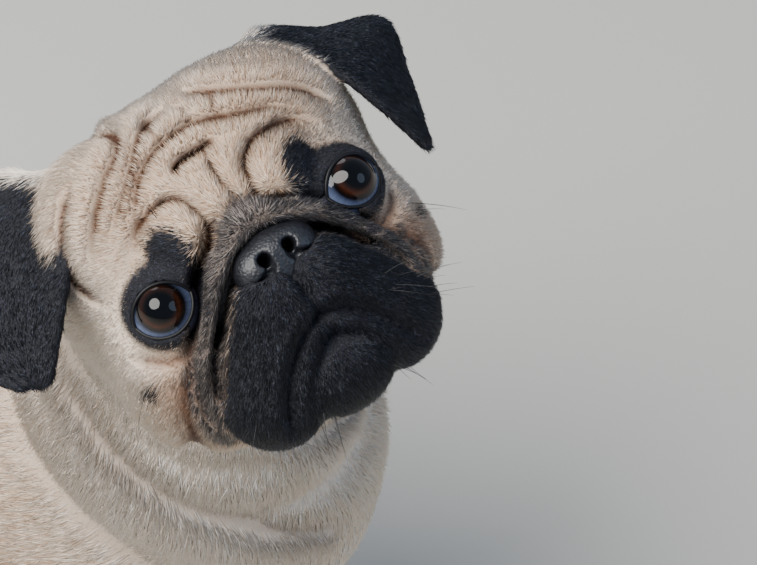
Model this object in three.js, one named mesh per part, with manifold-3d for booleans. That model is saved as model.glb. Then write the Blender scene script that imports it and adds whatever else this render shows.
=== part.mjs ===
// A life-size pug standing square on four feet. It looks up over its right shoulder with its head on one side.
// Millimetres. +Z is up, -Y is the way the body faces, +X is the dog's left, and Z = 0 is the floor.
// The flesh is one smooth form, built from eggs and tapered limbs and parted by thin flat cuts.

import * as THREE from "three";
import { mergeVertices } from "three/addons/utils/BufferGeometryUtils.js";
import Module from "manifold-3d";

const wasm = await Module();
wasm.setup();

// Driving sizes.
const GAP = 0.3; // between touching pieces
const LEG_CUT = 128; // height where the legs part from the trunk, just under the breastbone
const WRIST_CUT = 40; // height where the paws part from the legs
const HEAD_TURN = 40.4; // degrees towards the dog's right
const HEAD_LIFT = 45; // degrees above level
const HEAD_TILT = 21.4; // degrees, the right ear lower
const EYE_SPREAD = 33.5; // from the middle of the face to each eye's centre
const EYEBALL = 11; // radius
const FACE_POINT = [-42, -150, 360]; // midway between the eyes' centres
const NECK_ROOT = [0, -88, 212];
const NECK_WAY = new THREE.Vector3(-0.18, -0.3, 0.94).normalize();
const HEAD_CUT_AT = [0, 0, -76]; // in the head's frame
const COLLAR_CUT = new THREE.Vector3(0, -0.6, 0.8); // from the withers down to the breastbone
const COLLAR_CUT_AT = [0, -46, 274];
const LOIN_CUT = 12; // Y of the cut behind the ribs

const radians = THREE.MathUtils.degToRad;
const both = (rows) => rows.flatMap((row) => [row(1), row(-1)]);

// Forms: functions of a point that are negative inside, close to a distance in millimetres.

function egg([cx, cy, cz], [rx, ry, rz]) {
  return (x, y, z) => {
    const a = (x - cx) / rx;
    const b = (y - cy) / ry;
    const c = (z - cz) / rz;
    const near = Math.hypot(a, b, c);
    const slope = Math.hypot(a / rx, b / ry, c / rz);
    return slope ? (near * (near - 1)) / slope : -Math.min(rx, ry, rz);
  };
}

function limb([ax, ay, az], [bx, by, bz], startRadius, endRadius) {
  const [dx, dy, dz] = [bx - ax, by - ay, bz - az];
  const lengthSquared = dx * dx + dy * dy + dz * dz;
  return (x, y, z) => {
    const along = ((x - ax) * dx + (y - ay) * dy + (z - az) * dz) / lengthSquared;
    const t = Math.min(Math.max(along, 0), 1);
    const away = Math.hypot(x - ax - t * dx, y - ay - t * dy, z - az - t * dz);
    return away - startRadius - t * (endRadius - startRadius);
  };
}

function chain(points, startRadius, endRadius) {
  const curve = new THREE.CatmullRomCurve3(points.map((p) => new THREE.Vector3(...p)));
  const steps = 3 * (points.length - 1);
  const stops = curve.getPoints(steps).map((p) => p.toArray());
  const radius = (i) => startRadius + ((endRadius - startRadius) * i) / steps;
  const links = stops.slice(1).map((p, i) => limb(stops[i], p, radius(i), radius(i + 1)));
  return (x, y, z) => Math.min(...links.map((link) => link(x, y, z)));
}

function ring([cx, cy, cz], normal, ringRadius, tubeRadius) {
  return (x, y, z) => {
    const along = (x - cx) * normal.x + (y - cy) * normal.y + (z - cz) * normal.z;
    const out = Math.sqrt(Math.max((x - cx) ** 2 + (y - cy) ** 2 + (z - cz) ** 2 - along ** 2, 0));
    return Math.hypot(out - ringRadius, along) - tubeRadius;
  };
}

function soften(a, b, reach) {
  const h = Math.max(reach - Math.abs(a - b), 0) / reach;
  return Math.min(a, b) - (h * h * reach) / 4;
}

const FAR = 500;
const join = (reach, forms) => (x, y, z) =>
  forms.reduce((near, form) => soften(near, form(x, y, z), reach), FAR);

// The head's own frame: x to the dog's left, u up the face, f out of the face, from midway between the eyes.

const headFrame = new THREE.Matrix4()
  .makeTranslation(...FACE_POINT)
  .multiply(new THREE.Matrix4().makeRotationZ(-radians(HEAD_TURN)))
  .multiply(new THREE.Matrix4().makeRotationX(-radians(HEAD_LIFT)))
  .multiply(new THREE.Matrix4().makeRotationY(-radians(HEAD_TILT)))
  .multiply(
    new THREE.Matrix4().makeBasis(
      new THREE.Vector3(1, 0, 0),
      new THREE.Vector3(0, 0, 1),
      new THREE.Vector3(0, -1, 0),
    ),
  );
const toHead = headFrame.clone().invert().elements;

function inHeadFrame(form) {
  const m = toHead;
  return (x, y, z) =>
    form(
      m[0] * x + m[4] * y + m[8] * z + m[12],
      m[1] * x + m[5] * y + m[9] * z + m[13],
      m[2] * x + m[6] * y + m[10] * z + m[14],
    );
}

// Head forms, in [x, u, f].

const NOSE_ROLL = [[0, 9, 14], [11, 6, 16], [22, -3, 15], [30, -15, 9], [35, -27, 1], [36, -40, -9]];
const eyeCentre = (side) => [side * EYE_SPREAD, 0, 0];
const skull = join(14, [
  egg([0, 12, -42], [58, 46, 50]),
  egg([0, -34, -22], [37, 21, 38]),
  ...both([(s) => egg([s * 22, 27, -20], [33, 29, 26])]),
  ...both([(s) => egg([s * 31, -20, -25], [26, 29, 30])]),
]);
const muzzleForm = join(3, [
  egg([0, -14, 9], [21, 15, 14]),
  egg([0, -45, 8], [18, 14, 17]),
  ...both([(s) => limb([s * 8, -20, 12], [s * 21, -40, 4], 17, 17.5)]),
]);
const browPads = both([(s) => egg([s * 20, 15, 3], [10, 14, 9])]);
const noseRolls = both([(s) => chain(NOSE_ROLL.map(([x, u, f]) => [s * x, u, f]), 6, 5)]);
const LID = 2.8; // how far the lids stand off the eyeball
const lidBalls = both([(s) => egg(eyeCentre(s), [EYEBALL + LID, EYEBALL + LID, EYEBALL + LID])]);

// Creases of the face, each a curve in [x, u], with its depth and half width.

const CREASES = [
  { depth: 3.2, width: 2.6, path: [[-29, 22], [-23, 24.5], [-16, 25.5], [-11.5, 23], [-9.5, 16], [-10, 10], [-21, 1]] },
  { depth: 3.2, width: 2.6, path: [[33, 25], [25, 27], [17, 27], [11, 23], [8.5, 16], [9, 10], [22, 1]] },
  { depth: 4, width: 2.2, path: [[-8, 32], [-3, 33.5], [6, 33]] },
  { depth: 2.2, width: 2, path: [[2, 31], [1.7, 23], [2.4, 13]] },
  { depth: 3, width: 2.6, path: [[-32, 21], [-25, 28], [-18, 35.5], [-10, 39.5], [1, 41], [9, 39.5], [19, 35], [34, 26]] },
  { depth: 2.6, width: 2.8, path: [[-33, 28], [-26, 33], [-17, 40.5], [-12, 45], [-6, 47]] },
  { depth: 2.6, width: 2.8, path: [[-42, 26], [-35, 33], [-26, 41], [-18, 46], [-16, 51], [-26, 56]] },
  { depth: 2.6, width: 2.8, path: [[44, 26], [38, 33], [27, 40], [15, 46]] },
  { depth: 2, width: 2.4, path: [[5, 41], [5.5, 48]] },
  { depth: 2.4, width: 1.8, path: [[-23, -50], [-21, -44], [-16, -36.5], [-8, -29.5], [0, -26]] },
  { depth: 2.4, width: 1.8, path: [[23, -51], [20, -44], [15, -36.5], [8, -29.5], [0, -26]] },
  { depth: 2, width: 1.6, path: [[0, -12], [0, -26]] },
].map(({ depth, width, path }) => {
  const curve = new THREE.CatmullRomCurve3(path.map(([x, u]) => new THREE.Vector3(x, u, 0)));
  return { depth, width, stops: curve.getPoints(4 * path.length) };
});

function furrow({ depth, width, stops }, x, u) {
  let nearest = FAR;
  for (let i = 1; i < stops.length; i += 1) {
    const [a, b] = [stops[i - 1], stops[i]];
    const [dx, du] = [b.x - a.x, b.y - a.y];
    const t = Math.min(Math.max(((x - a.x) * dx + (u - a.y) * du) / (dx * dx + du * du), 0), 1);
    nearest = Math.min(nearest, Math.hypot(x - a.x - t * dx, u - a.y - t * du));
  }
  return depth * Math.exp(-((nearest / width) ** 2));
}

const FACE_FRONT = -40; // creases end behind this f
const face = (x, u, f) => {
  const flesh = soften(
    soften(join(5, [skull, ...browPads, ...lidBalls])(x, u, f), muzzleForm(x, u, f), 6),
    Math.min(...noseRolls.map((roll) => roll(x, u, f))),
    4,
  );
  if (f < FACE_FRONT) return flesh;
  return flesh + CREASES.reduce((sum, crease) => sum + furrow(crease, x, u), 0);
};

// Trunk, neck and legs.

const along = (distance) => new THREE.Vector3(...NECK_ROOT).addScaledVector(NECK_WAY, distance).toArray();
// Loose skin lies round the neck in two rolls that sag at the throat.
const UPPER_ROLL = { at: 70, way: new THREE.Vector3(-0.3, -0.6, 0.85).normalize(), ring: 47, roll: 13 };
const LOWER_ROLL = { at: 36, way: new THREE.Vector3(0.05, -0.55, 0.9).normalize(), ring: 54, roll: 14 };
const neckForm = join(12, [
  limb(along(-10), along(104), 63, 50),
  ...[UPPER_ROLL, LOWER_ROLL].map((fold) => ring(along(fold.at), fold.way, fold.ring, fold.roll)),
]);
const trunk = join(30, [
  egg([0, -42, 206], [74, 98, 70]),
  egg([0, 42, 203], [64, 92, 58]),
  egg([0, 92, 208], [62, 50, 58]),
  egg([0, -114, 200], [52, 46, 54]),
  ...both([(s) => egg([s * 47, -72, 190], [28, 42, 56])]),
  ...both([(s) => egg([s * 46, 96, 170], [29, 46, 60])]),
]);

function foreLeg(side) {
  const [x, y] = [side * 54, -68];
  return join(12, [
    limb([x, y + 4, 162], [x, y, 96], 29, 20),
    limb([x, y, 96], [x, y - 2, 52], 20, 16.5),
    limb([x, y - 2, 52], [x, y - 8, 22], 16.5, 18),
    egg([x, y - 12, 12.5], [21, 26, 17]),
  ]);
}

function hindLeg(side) {
  const x = side * 52;
  return join(14, [
    limb([x, 92, 170], [x, 72, 124], 42, 27),
    limb([x, 72, 124], [x, 124, 74], 26, 15),
    limb([x, 124, 74], [x, 112, 26], 14.5, 14),
    egg([x, 102, 12], [19, 25, 16.5]),
  ]);
}

const FORE_TOE = { y: -99, z: 7.5 };
const HIND_TOE = { y: 80, z: 7.5 };
const TOE_OFFSETS = [[-14, 5], [-5, -1], [5, -1], [14, 5]]; // across and back from the foremost
const toes = (x, { y, z }) => TOE_OFFSETS.map(([across, back]) => egg([x + across, y + back, z], [6.2, 12, 10.5]));
const legs = both([
  (s) => join(2.5, [foreLeg(s), ...toes(s * 54, FORE_TOE)]),
  (s) => join(2.5, [hindLeg(s), ...toes(s * 52, HIND_TOE)]),
]);
const body = join(20, [trunk, ...legs]);
const headAndNeck = join(12, [inHeadFrame(face), neckForm]);
const dog = join(18, [body, headAndNeck]);

// Surfaces.

const CORNERS = [0, 1, 2, 3, 4, 5, 6, 7].map((c) => [c & 1, (c >> 1) & 1, c >> 2]);
const EDGES = CORNERS.flatMap((_, c) => [1, 2, 4].filter((bit) => !(c & bit)).map((bit) => [c, c | bit]));

// True if the chosen corners of a cube hang together along its edges.
function together(mask) {
  if (!mask) return true;
  let seen = mask & -mask;
  for (let last = 0; last !== seen; ) {
    last = seen;
    for (const [a, b] of EDGES) {
      if ((mask >> a) & 1 && (mask >> b) & 1 && ((seen >> a) & 1 || (seen >> b) & 1)) seen |= (1 << a) | (1 << b);
    }
  }
  return seen === mask;
}
const IS_PLAIN = Array.from({ length: 256 }, (_, mask) => together(mask) && together(255 & ~mask));

// The surface of a form inside a box, as one closed mesh with a vertex for each grid cell that it crosses.
function surface(form, low, high, step) {
  const count = low.map((v, i) => Math.ceil((high[i] - v) / step) + 1);
  const at = (i, j, k) => i + count[0] * (j + count[1] * k);
  const inBox = (i, j, k) => [i, j, k].every((v, n) => v > 0 && v < count[n] - 1);
  const value = new Float32Array(count[0] * count[1] * count[2]).fill(step);
  for (let k = 1; k < count[2] - 1; k += 1)
    for (let j = 1; j < count[1] - 1; j += 1)
      for (let i = 1; i < count[0] - 1; i += 1)
        value[at(i, j, k)] = form(low[0] + i * step, low[1] + j * step, low[2] + k * step);
  const cells = [];
  for (let k = 0; k < count[2] - 1; k += 1)
    for (let j = 0; j < count[1] - 1; j += 1) for (let i = 0; i < count[0] - 1; i += 1) cells.push([i, j, k]);
  const maskOf = ([i, j, k]) =>
    CORNERS.reduce((mask, [a, b, c], n) => mask | ((value[at(i + a, j + b, k + c)] < 0 ? 1 : 0) << n), 0);
  // Fills a corner wherever two sheets would share a cell, so that the mesh stays a plain surface.
  for (let changed = true; changed; ) {
    changed = false;
    for (const cell of cells) {
      if (IS_PLAIN[maskOf(cell)]) continue;
      const outside = CORNERS.map(([a, b, c]) => [cell[0] + a, cell[1] + b, cell[2] + c])
        .filter((p) => inBox(...p) && value[at(...p)] >= 0)
        .sort((p, q) => value[at(...p)] - value[at(...q)]);
      if (!outside.length) continue;
      value[at(...outside[0])] = -step / 50;
      changed = true;
    }
  }
  const positions = [];
  const vertex = new Map();
  for (const [i, j, k] of cells) {
    const mask = maskOf([i, j, k]);
    if (mask === 0 || mask === 255) continue;
    const middle = new THREE.Vector3();
    let crossings = 0;
    for (const [a, b] of EDGES) {
      if (((mask >> a) & 1) === ((mask >> b) & 1)) continue;
      const [pa, pb] = [CORNERS[a], CORNERS[b]];
      const va = value[at(i + pa[0], j + pa[1], k + pa[2])];
      const vb = value[at(i + pb[0], j + pb[1], k + pb[2])];
      const t = va / (va - vb);
      middle.add(new THREE.Vector3(...pa).lerp(new THREE.Vector3(...pb), t));
      crossings += 1;
    }
    middle.divideScalar(crossings);
    vertex.set(at(i, j, k), positions.length / 3);
    positions.push(low[0] + (i + middle.x) * step, low[1] + (j + middle.y) * step, low[2] + (k + middle.z) * step);
  }
  const index = [];
  const AXES = [[1, 0, 0], [0, 1, 0], [0, 0, 1]];
  for (const [i, j, k] of cells) {
    AXES.forEach((axis, n) => {
      const [here, next] = [value[at(i, j, k)] < 0, value[at(i + axis[0], j + axis[1], k + axis[2])] < 0];
      if (here === next) return;
      const [p, q] = [AXES[(n + 1) % 3], AXES[(n + 2) % 3]];
      const cell = (a, b) =>
        vertex.get(at(i - a * p[0] - b * q[0], j - a * p[1] - b * q[1], k - a * p[2] - b * q[2]));
      const quad = [cell(0, 0), cell(1, 0), cell(1, 1), cell(0, 1)];
      if (next) quad.reverse();
      index.push(quad[0], quad[1], quad[2], quad[0], quad[2], quad[3]);
    });
  }
  for (let n = 0; n < positions.length; n += 3) settle(form, positions, n, 0.3 * step);
  return new THREE.BufferGeometry()
    .setAttribute("position", new THREE.Float32BufferAttribute(positions, 3))
    .setIndex(index);
}

// Moves one vertex down the slope of a form on to its surface.
function settle(form, positions, n, most) {
  const nudge = 0.5;
  const start = positions.slice(n, n + 3);
  for (let turn = 0; turn < 3; turn += 1) {
    const [x, y, z] = positions.slice(n, n + 3);
    const here = form(x, y, z);
    const slope = [form(x + nudge, y, z), form(x, y + nudge, z), form(x, y, z + nudge)].map((v) => (v - here) / nudge);
    const steep = Math.max(slope.reduce((sum, v) => sum + v * v, 0), 0.25);
    for (let k = 0; k < 3; k += 1) {
      const moved = positions[n + k] - (here * slope[k]) / steep;
      positions[n + k] = THREE.MathUtils.clamp(moved, start[k] - most, start[k] + most);
    }
  }
}

// The outermost surface of a form along each ray from a centre, in the head's frame, with most rings on the face.
const RAY_REACH = 112;
const RING_POWER = 1.7; // rings crowd towards the muzzle as this grows
function wrapped(form, centre, segments, rings) {
  const geometry = new THREE.SphereGeometry(1, segments, rings);
  const position = geometry.getAttribute("position");
  for (let n = 0; n < position.count; n += 1) {
    const polar = Math.PI * (Math.acos(THREE.MathUtils.clamp(position.getY(n), -1, 1)) / Math.PI) ** RING_POWER;
    const round = Math.atan2(position.getZ(n), position.getX(n));
    const way = new THREE.Vector3(
      Math.sin(polar) * Math.cos(round),
      Math.sin(polar) * Math.sin(round),
      Math.cos(polar),
    );
    let reach = RAY_REACH;
    for (let turn = 0; turn < 80; turn += 1) {
      const p = way.clone().multiplyScalar(reach).add(centre);
      const gap = form(p.x, p.y, p.z);
      if (gap < 0.02) break;
      reach -= 0.6 * gap;
    }
    position.setXYZ(n, ...way.multiplyScalar(reach).add(centre).toArray());
  }
  return geometry;
}

// A closed mesh through rings of points, with a fan at each end.
function lofted(rings) {
  const size = rings[0].length;
  const positions = rings.flat().flatMap((p) => p.toArray());
  const index = [];
  for (let r = 0; r < rings.length - 1; r += 1)
    for (let n = 0; n < size; n += 1) {
      const [a, b] = [r * size + n, r * size + ((n + 1) % size)];
      index.push(a, b, b + size, a, b + size, a + size);
    }
  for (const r of [0, rings.length - 1]) {
    const centre = rings[r].reduce((sum, p) => sum.add(p), new THREE.Vector3()).divideScalar(size);
    const hub = positions.length / 3;
    positions.push(...centre.toArray());
    for (let n = 0; n < size; n += 1) {
      const [a, b] = [r * size + n, r * size + ((n + 1) % size)];
      index.push(...(r ? [hub, a, b] : [hub, b, a]));
    }
  }
  return new THREE.BufferGeometry()
    .setAttribute("position", new THREE.Float32BufferAttribute(positions, 3))
    .setIndex(index);
}

// Solids.

function solid(geometry) {
  const bare = geometry.clone();
  bare.deleteAttribute("normal");
  bare.deleteAttribute("uv");
  const merged = mergeVertices(bare, 1e-3);
  const triVerts = new Uint32Array(merged.index.array);
  const make = () =>
    new wasm.Manifold(
      new wasm.Mesh({ numProp: 3, vertProperties: merged.getAttribute("position").array, triVerts }),
    );
  const made = make();
  if (made.volume() > 0) return made;
  for (let n = 0; n < triVerts.length; n += 3) [triVerts[n], triVerts[n + 1]] = [triVerts[n + 1], triVerts[n]];
  return make();
}

const largest = (made) => made.decompose().sort((a, b) => b.volume() - a.volume())[0];
const beyond = (made, normal, offset) => made.trimByPlane(normal.toArray(), offset + GAP / 2);
const before = (made, normal, offset) =>
  made.trimByPlane(normal.clone().negate().toArray(), -offset + GAP / 2);

const UP = new THREE.Vector3(0, 0, 1);
const BACK = new THREE.Vector3(0, 1, 0);
const headWay = new THREE.Vector3().setFromMatrixColumn(headFrame, 2).add(NECK_WAY).normalize();
const headOffset = headWay.dot(new THREE.Vector3(...HEAD_CUT_AT).applyMatrix4(headFrame));
const collarOffset = COLLAR_CUT.dot(new THREE.Vector3(...COLLAR_CUT_AT));

// Head, muzzle, nose, eyes and ears.

const HEAD_CENTRE = new THREE.Vector3(0, 0, -34);
const fromHead = (form) => {
  const m = headFrame.elements;
  return (x, u, f) =>
    form(
      m[0] * x + m[4] * u + m[8] * f + m[12],
      m[1] * x + m[5] * u + m[9] * f + m[13],
      m[2] * x + m[6] * u + m[10] * f + m[14],
    );
};
const headFlesh = fromHead(headAndNeck);
const headSolid = (grow = 0) =>
  solid(wrapped((x, u, f) => headFlesh(x, u, f) - grow, HEAD_CENTRE, 70, 34).applyMatrix4(headFrame));

const NOSE = { centre: [0, -4.5, 16], radii: [12.8, 8, 7.5] };
function noseSolid(grow = 0) {
  const form = join(3, [
    egg(NOSE.centre, NOSE.radii.map((r) => r + grow)),
    egg([0, -10.5, 16], [4.5 + grow, 5 + grow, 6 + grow]),
  ]);
  const low = [-18, -21, 3];
  return surface(form, low, [18, 9, 30], 3.5).applyMatrix4(headFrame);
}
const nostril = (side) =>
  new THREE.SphereGeometry(1, 10, 8)
    .scale(2, 2.8, 5)
    .rotateZ(side * radians(25))
    .translate(side * 5.2, -5, 23)
    .applyMatrix4(headFrame);

const EYE_SPLAY = 14; // degrees that each eye looks outwards
const CORNEA = { swell: 1, spread: 0.8 };
function eyeball(side, grow = 0) {
  const geometry = new THREE.SphereGeometry(1, 16, 11).rotateX(Math.PI / 2).rotateY(side * radians(EYE_SPLAY));
  const front = new THREE.Vector3(0, 0, 1).applyAxisAngle(new THREE.Vector3(0, 1, 0), side * radians(EYE_SPLAY));
  const position = geometry.getAttribute("position");
  for (let n = 0; n < position.count; n += 1) {
    const way = new THREE.Vector3().fromBufferAttribute(position, n);
    const bulge = CORNEA.swell * Math.exp(-((way.angleTo(front) / CORNEA.spread) ** 4));
    position.setXYZ(n, ...way.multiplyScalar(EYEBALL + bulge + grow).toArray());
  }
  return geometry.translate(...eyeCentre(side)).applyMatrix4(headFrame);
}
const LID_OPENING = { inner: 8.8, outer: 10.6, height: 0.9 };
const opening = (side) =>
  new THREE.CylinderGeometry(LID_OPENING.outer, LID_OPENING.inner, 14, 28)
    .rotateX(Math.PI / 2)
    .scale(1, LID_OPENING.height, 1)
    .translate(0, 0, 14)
    .rotateY(side * radians(EYE_SPLAY))
    .translate(...eyeCentre(side))
    .applyMatrix4(headFrame);

const MUZZLE_REGION = { centre: [0, -36, 12], radii: [36, 28, 30] };
const muzzleRegion = (grow) =>
  solid(
    new THREE.SphereGeometry(1, 20, 12)
      .scale(...MUZZLE_REGION.radii.map((r) => r + grow))
      .translate(...MUZZLE_REGION.centre)
      .applyMatrix4(headFrame),
  );

const EAR_THICKNESS = 3.4;
const EAR_ROWS = 9;
const EAR_COLUMNS = 5;
// Each ear hangs from the side of the crown between a front and a back edge, in [x, u, f], root first.
const EARS = {
  right: {
    front: [[-22, 46, -26], [-34, 50, -18], [-43, 39, -12], [-49, 29, -9], [-60, 16, -9], [-73, 2, -12]],
    back: [[-34, 42, -58], [-42, 60, -54], [-62, 60, -50], [-84, 42, -42], [-92, 24, -32], [-81, 5, -16]],
    camber: -6,
  },
  left: {
    front: [[24, 46, -26], [36, 52, -22], [49, 41, -15], [55, 30, -10], [59.5, 15, -8], [66, -4, -14]],
    back: [[36, 42, -58], [47, 54, -56], [66, 44, -53], [85, 36, -46], [79, 17, -36], [69, -2, -20]],
    camber: 4,
  },
};
function earFlap({ front, back, camber }) {
  const edge = (points) => new THREE.CatmullRomCurve3(points.map((p) => new THREE.Vector3(...p)));
  const [fore, hind] = [edge(front), edge(back)];
  const sheet = (s, t) => {
    const [a, b] = [fore.getPoint(s), hind.getPoint(s)];
    const lift = camber * 4 * t * (1 - t) * Math.sin(Math.PI * Math.min(s + 0.15, 1)) ** 0.7;
    return a.lerp(b, t).add(new THREE.Vector3(lift, Math.abs(lift) * 0.4, 0));
  };
  const rings = [];
  for (let r = 0; r <= EAR_ROWS; r += 1) {
    const s = r / EAR_ROWS;
    const row = [];
    for (let c = 0; c <= EAR_COLUMNS; c += 1) {
      const t = c / EAR_COLUMNS;
      const nudge = 0.01;
      const across = sheet(s, Math.min(t + nudge, 1)).sub(sheet(s, Math.max(t - nudge, 0)));
      const down = sheet(Math.min(s + nudge, 1), t).sub(sheet(Math.max(s - nudge, 0), t));
      const normal = across.cross(down).normalize();
      const edgeThinning = 0.45 + 0.55 * Math.sin(Math.PI * t);
      const half = (EAR_THICKNESS / 2) * edgeThinning * (1 - 0.35 * s);
      row.push([sheet(s, t).addScaledVector(normal, half), sheet(s, t).addScaledVector(normal, -half)]);
    }
    rings.push([...row.map((pair) => pair[0]), ...row.map((pair) => pair[1]).reverse()]);
  }
  return solid(lofted(rings).applyMatrix4(headFrame));
}

const onlyHead = (made) => beyond(made, headWay, headOffset);
const eyeSockets = solid(eyeball(1, GAP)).add(solid(eyeball(-1, GAP)));
const openings = solid(opening(1)).add(solid(opening(-1)));
const noseSeat = solid(noseSolid(GAP));
const carvedHead = onlyHead(headSolid()).subtract(eyeSockets.add(openings)).subtract(noseSeat);
const grownHead = headSolid(GAP).add(eyeSockets);
const nose = solid(noseSolid()).subtract(solid(nostril(1)).add(solid(nostril(-1))));

// Tail: nearly one and a half turns, lying over the right hip.

const TAIL = { pivot: [112, 286], start: -55, turns: 1.4, rise: [27, 12], side: [4, -30], radius: [16, 9.5] };
const TAIL_LENGTH = 190;
const TAIL_SPLIT = 0.4;
const TAIL_SIDES = 10;
function tailPoint(t) {
  const angle = radians(TAIL.start) + t * TAIL.turns * 2 * Math.PI;
  const out = THREE.MathUtils.lerp(...TAIL.rise, Math.max(t, 0) ** 0.8);
  const across = THREE.MathUtils.lerp(...TAIL.side, THREE.MathUtils.smoothstep(t, 0.1, 0.85));
  return new THREE.Vector3(across, TAIL.pivot[0] + out * Math.cos(angle), TAIL.pivot[1] + out * Math.sin(angle));
}
function tailLength(from, to, steps) {
  const rings = Array.from({ length: steps + 1 }, (_, n) => {
    const t = THREE.MathUtils.lerp(from, to, n / steps);
    const way = tailPoint(t + 0.005).sub(tailPoint(t - 0.005)).normalize();
    const right = new THREE.Vector3(1, 0, 0).addScaledVector(way, -way.x).normalize();
    const up = way.clone().cross(right);
    const rounded = Math.sqrt(Math.max(1 - Math.max((t - 0.95) / 0.05, 0) ** 2, 0.08));
    const radius = THREE.MathUtils.lerp(...TAIL.radius, t) * rounded;
    return Array.from({ length: TAIL_SIDES }, (__, c) => {
      const angle = (2 * Math.PI * c) / TAIL_SIDES;
      return tailPoint(t)
        .addScaledVector(right, radius * Math.cos(angle))
        .addScaledVector(up, radius * Math.sin(angle));
    });
  });
  return solid(lofted(rings));
}

// Claws: short bent cones, sunk well into the toes.

const CLAW = { radius: 2.5, length: 13, droop: 38, ahead: 13, below: 1.5 };
function claws(x, { y, z }) {
  return TOE_OFFSETS.map(([across, back]) =>
    solid(
      new THREE.ConeGeometry(CLAW.radius, CLAW.length, 6)
        .rotateX(Math.PI + radians(CLAW.droop))
        .translate(x + across, y + back - CLAW.ahead, z - CLAW.below),
    ),
  );
}

// Parts.

const BODY_STEP = 14;
const LEG_STEP = 11;
const PAW_STEP = 8;
const bodyMesh = (grow) =>
  surface((x, y, z) => dog(x, y, z) - grow, [-110, -204, LEG_CUT - 16], [110, 178, 350], BODY_STEP);
const bodySolid = beyond(solid(bodyMesh(0)), UP, LEG_CUT);
const trunkSolid = before(bodySolid, COLLAR_CUT, collarOffset);
const chest = before(trunkSolid, BACK, LOIN_CUT);
const loin = beyond(trunkSolid, BACK, LOIN_CUT);
const neck = before(beyond(bodySolid, COLLAR_CUT, collarOffset), headWay, headOffset);
const grownBody = solid(bodyMesh(1));

function legSolid(side, y) {
  const low = [side > 0 ? 12 : -100, y - 70, WRIST_CUT - 14];
  const high = [side > 0 ? 100 : -12, y + 85, LEG_CUT + 14];
  return before(beyond(solid(surface(dog, low, high, LEG_STEP)), UP, WRIST_CUT), UP, LEG_CUT);
}

function pawSolid(side, x, y, toe) {
  const low = [side * x - 34, y - 50, -10];
  const high = [side * x + 34, y + 62, WRIST_CUT + 10];
  const flesh = solid(surface(dog, low, high, PAW_STEP));
  const standing = before(flesh, UP, WRIST_CUT).trimByPlane([0, 0, 1], 0);
  return claws(side * x, toe).reduce((paw, claw) => paw.add(claw.trimByPlane([0, 0, 1], 0)), standing);
}

const FAWN = { color: 0xd8bd98, roughness: 0.85, metalness: 0 };
const CREAM = { color: 0xe6d6bf, roughness: 0.85, metalness: 0 };
const MASK = { color: 0x1b1a1d, roughness: 0.75, metalness: 0 };
const LEATHER = { color: 0x121217, roughness: 0.45, metalness: 0 };
const EYE = { color: 0x24120c, roughness: 0.08, metalness: 0 };

const pug = new THREE.Group();
function add(name, made, look) {
  const mesh = largest(made).getMesh();
  const geometry = new THREE.BufferGeometry()
    .setAttribute("position", new THREE.BufferAttribute(mesh.vertProperties, 3))
    .setIndex(new THREE.BufferAttribute(mesh.triVerts, 1));
  const piece = new THREE.Mesh(geometry, new THREE.MeshStandardMaterial(look));
  piece.name = name;
  pug.add(piece);
}

add("head", carvedHead.subtract(muzzleRegion(GAP / 2)), FAWN);
add("muzzle", carvedHead.intersect(muzzleRegion(-GAP / 2)), MASK);
add("nose", nose, LEATHER);
add("neck", neck, CREAM);
add("chest", chest, FAWN);
add("loin", loin, FAWN);
const tailGap = GAP / 2 / TAIL_LENGTH;
add("tail_base", tailLength(0, TAIL_SPLIT - tailGap, 13).subtract(grownBody), FAWN);
add("tail_curl", tailLength(TAIL_SPLIT + tailGap, 1, 20).subtract(grownBody), FAWN);
for (const [side, name] of [[1, "left"], [-1, "right"]]) {
  add(`eye_${name}`, solid(eyeball(side)), EYE);
  add(`ear_${name}`, earFlap(EARS[name]).subtract(grownHead), MASK);
  add(`foreleg_${name}`, legSolid(side, -68), FAWN);
  add(`forepaw_${name}`, pawSolid(side, 54, -80, FORE_TOE), FAWN);
  add(`hindleg_${name}`, legSolid(side, 100), FAWN);
  add(`hindpaw_${name}`, pawSolid(side, 52, 100, HIND_TOE), FAWN);
}

// The origin goes under the middle of the whole box.
const middle = new THREE.Box3().setFromObject(pug).getCenter(new THREE.Vector3());
for (const piece of pug.children) piece.geometry.translate(-middle.x, -middle.y, 0);

export default pug;
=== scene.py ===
import math

import bpy
import numpy as np
from mathutils import Matrix, Vector


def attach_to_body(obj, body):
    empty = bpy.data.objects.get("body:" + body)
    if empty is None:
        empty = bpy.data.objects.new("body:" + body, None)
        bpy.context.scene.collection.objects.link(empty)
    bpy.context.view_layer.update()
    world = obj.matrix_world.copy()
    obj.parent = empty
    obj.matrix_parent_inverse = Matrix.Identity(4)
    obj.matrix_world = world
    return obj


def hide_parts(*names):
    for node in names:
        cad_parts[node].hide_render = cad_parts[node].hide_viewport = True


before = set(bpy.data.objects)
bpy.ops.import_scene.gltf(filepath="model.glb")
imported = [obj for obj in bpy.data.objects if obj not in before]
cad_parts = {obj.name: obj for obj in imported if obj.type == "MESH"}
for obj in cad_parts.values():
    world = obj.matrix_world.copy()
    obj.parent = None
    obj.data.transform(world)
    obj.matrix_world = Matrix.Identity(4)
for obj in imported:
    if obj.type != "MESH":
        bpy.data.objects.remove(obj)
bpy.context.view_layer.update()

bl_info = {
    "name": "Standing pug",
    "version": (1, 0, 0),
    "blender": (4, 5, 0),
    "location": "3D View > Sidebar > Pug",
    "description": "Skin, coat, eyes and nose of a pug that looks up over its shoulder",
    "category": "Add Mesh",
}

# Sizes are in millimetres, in the dog's own frame: +Z up, -Y the way the body faces, +X its left.

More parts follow.
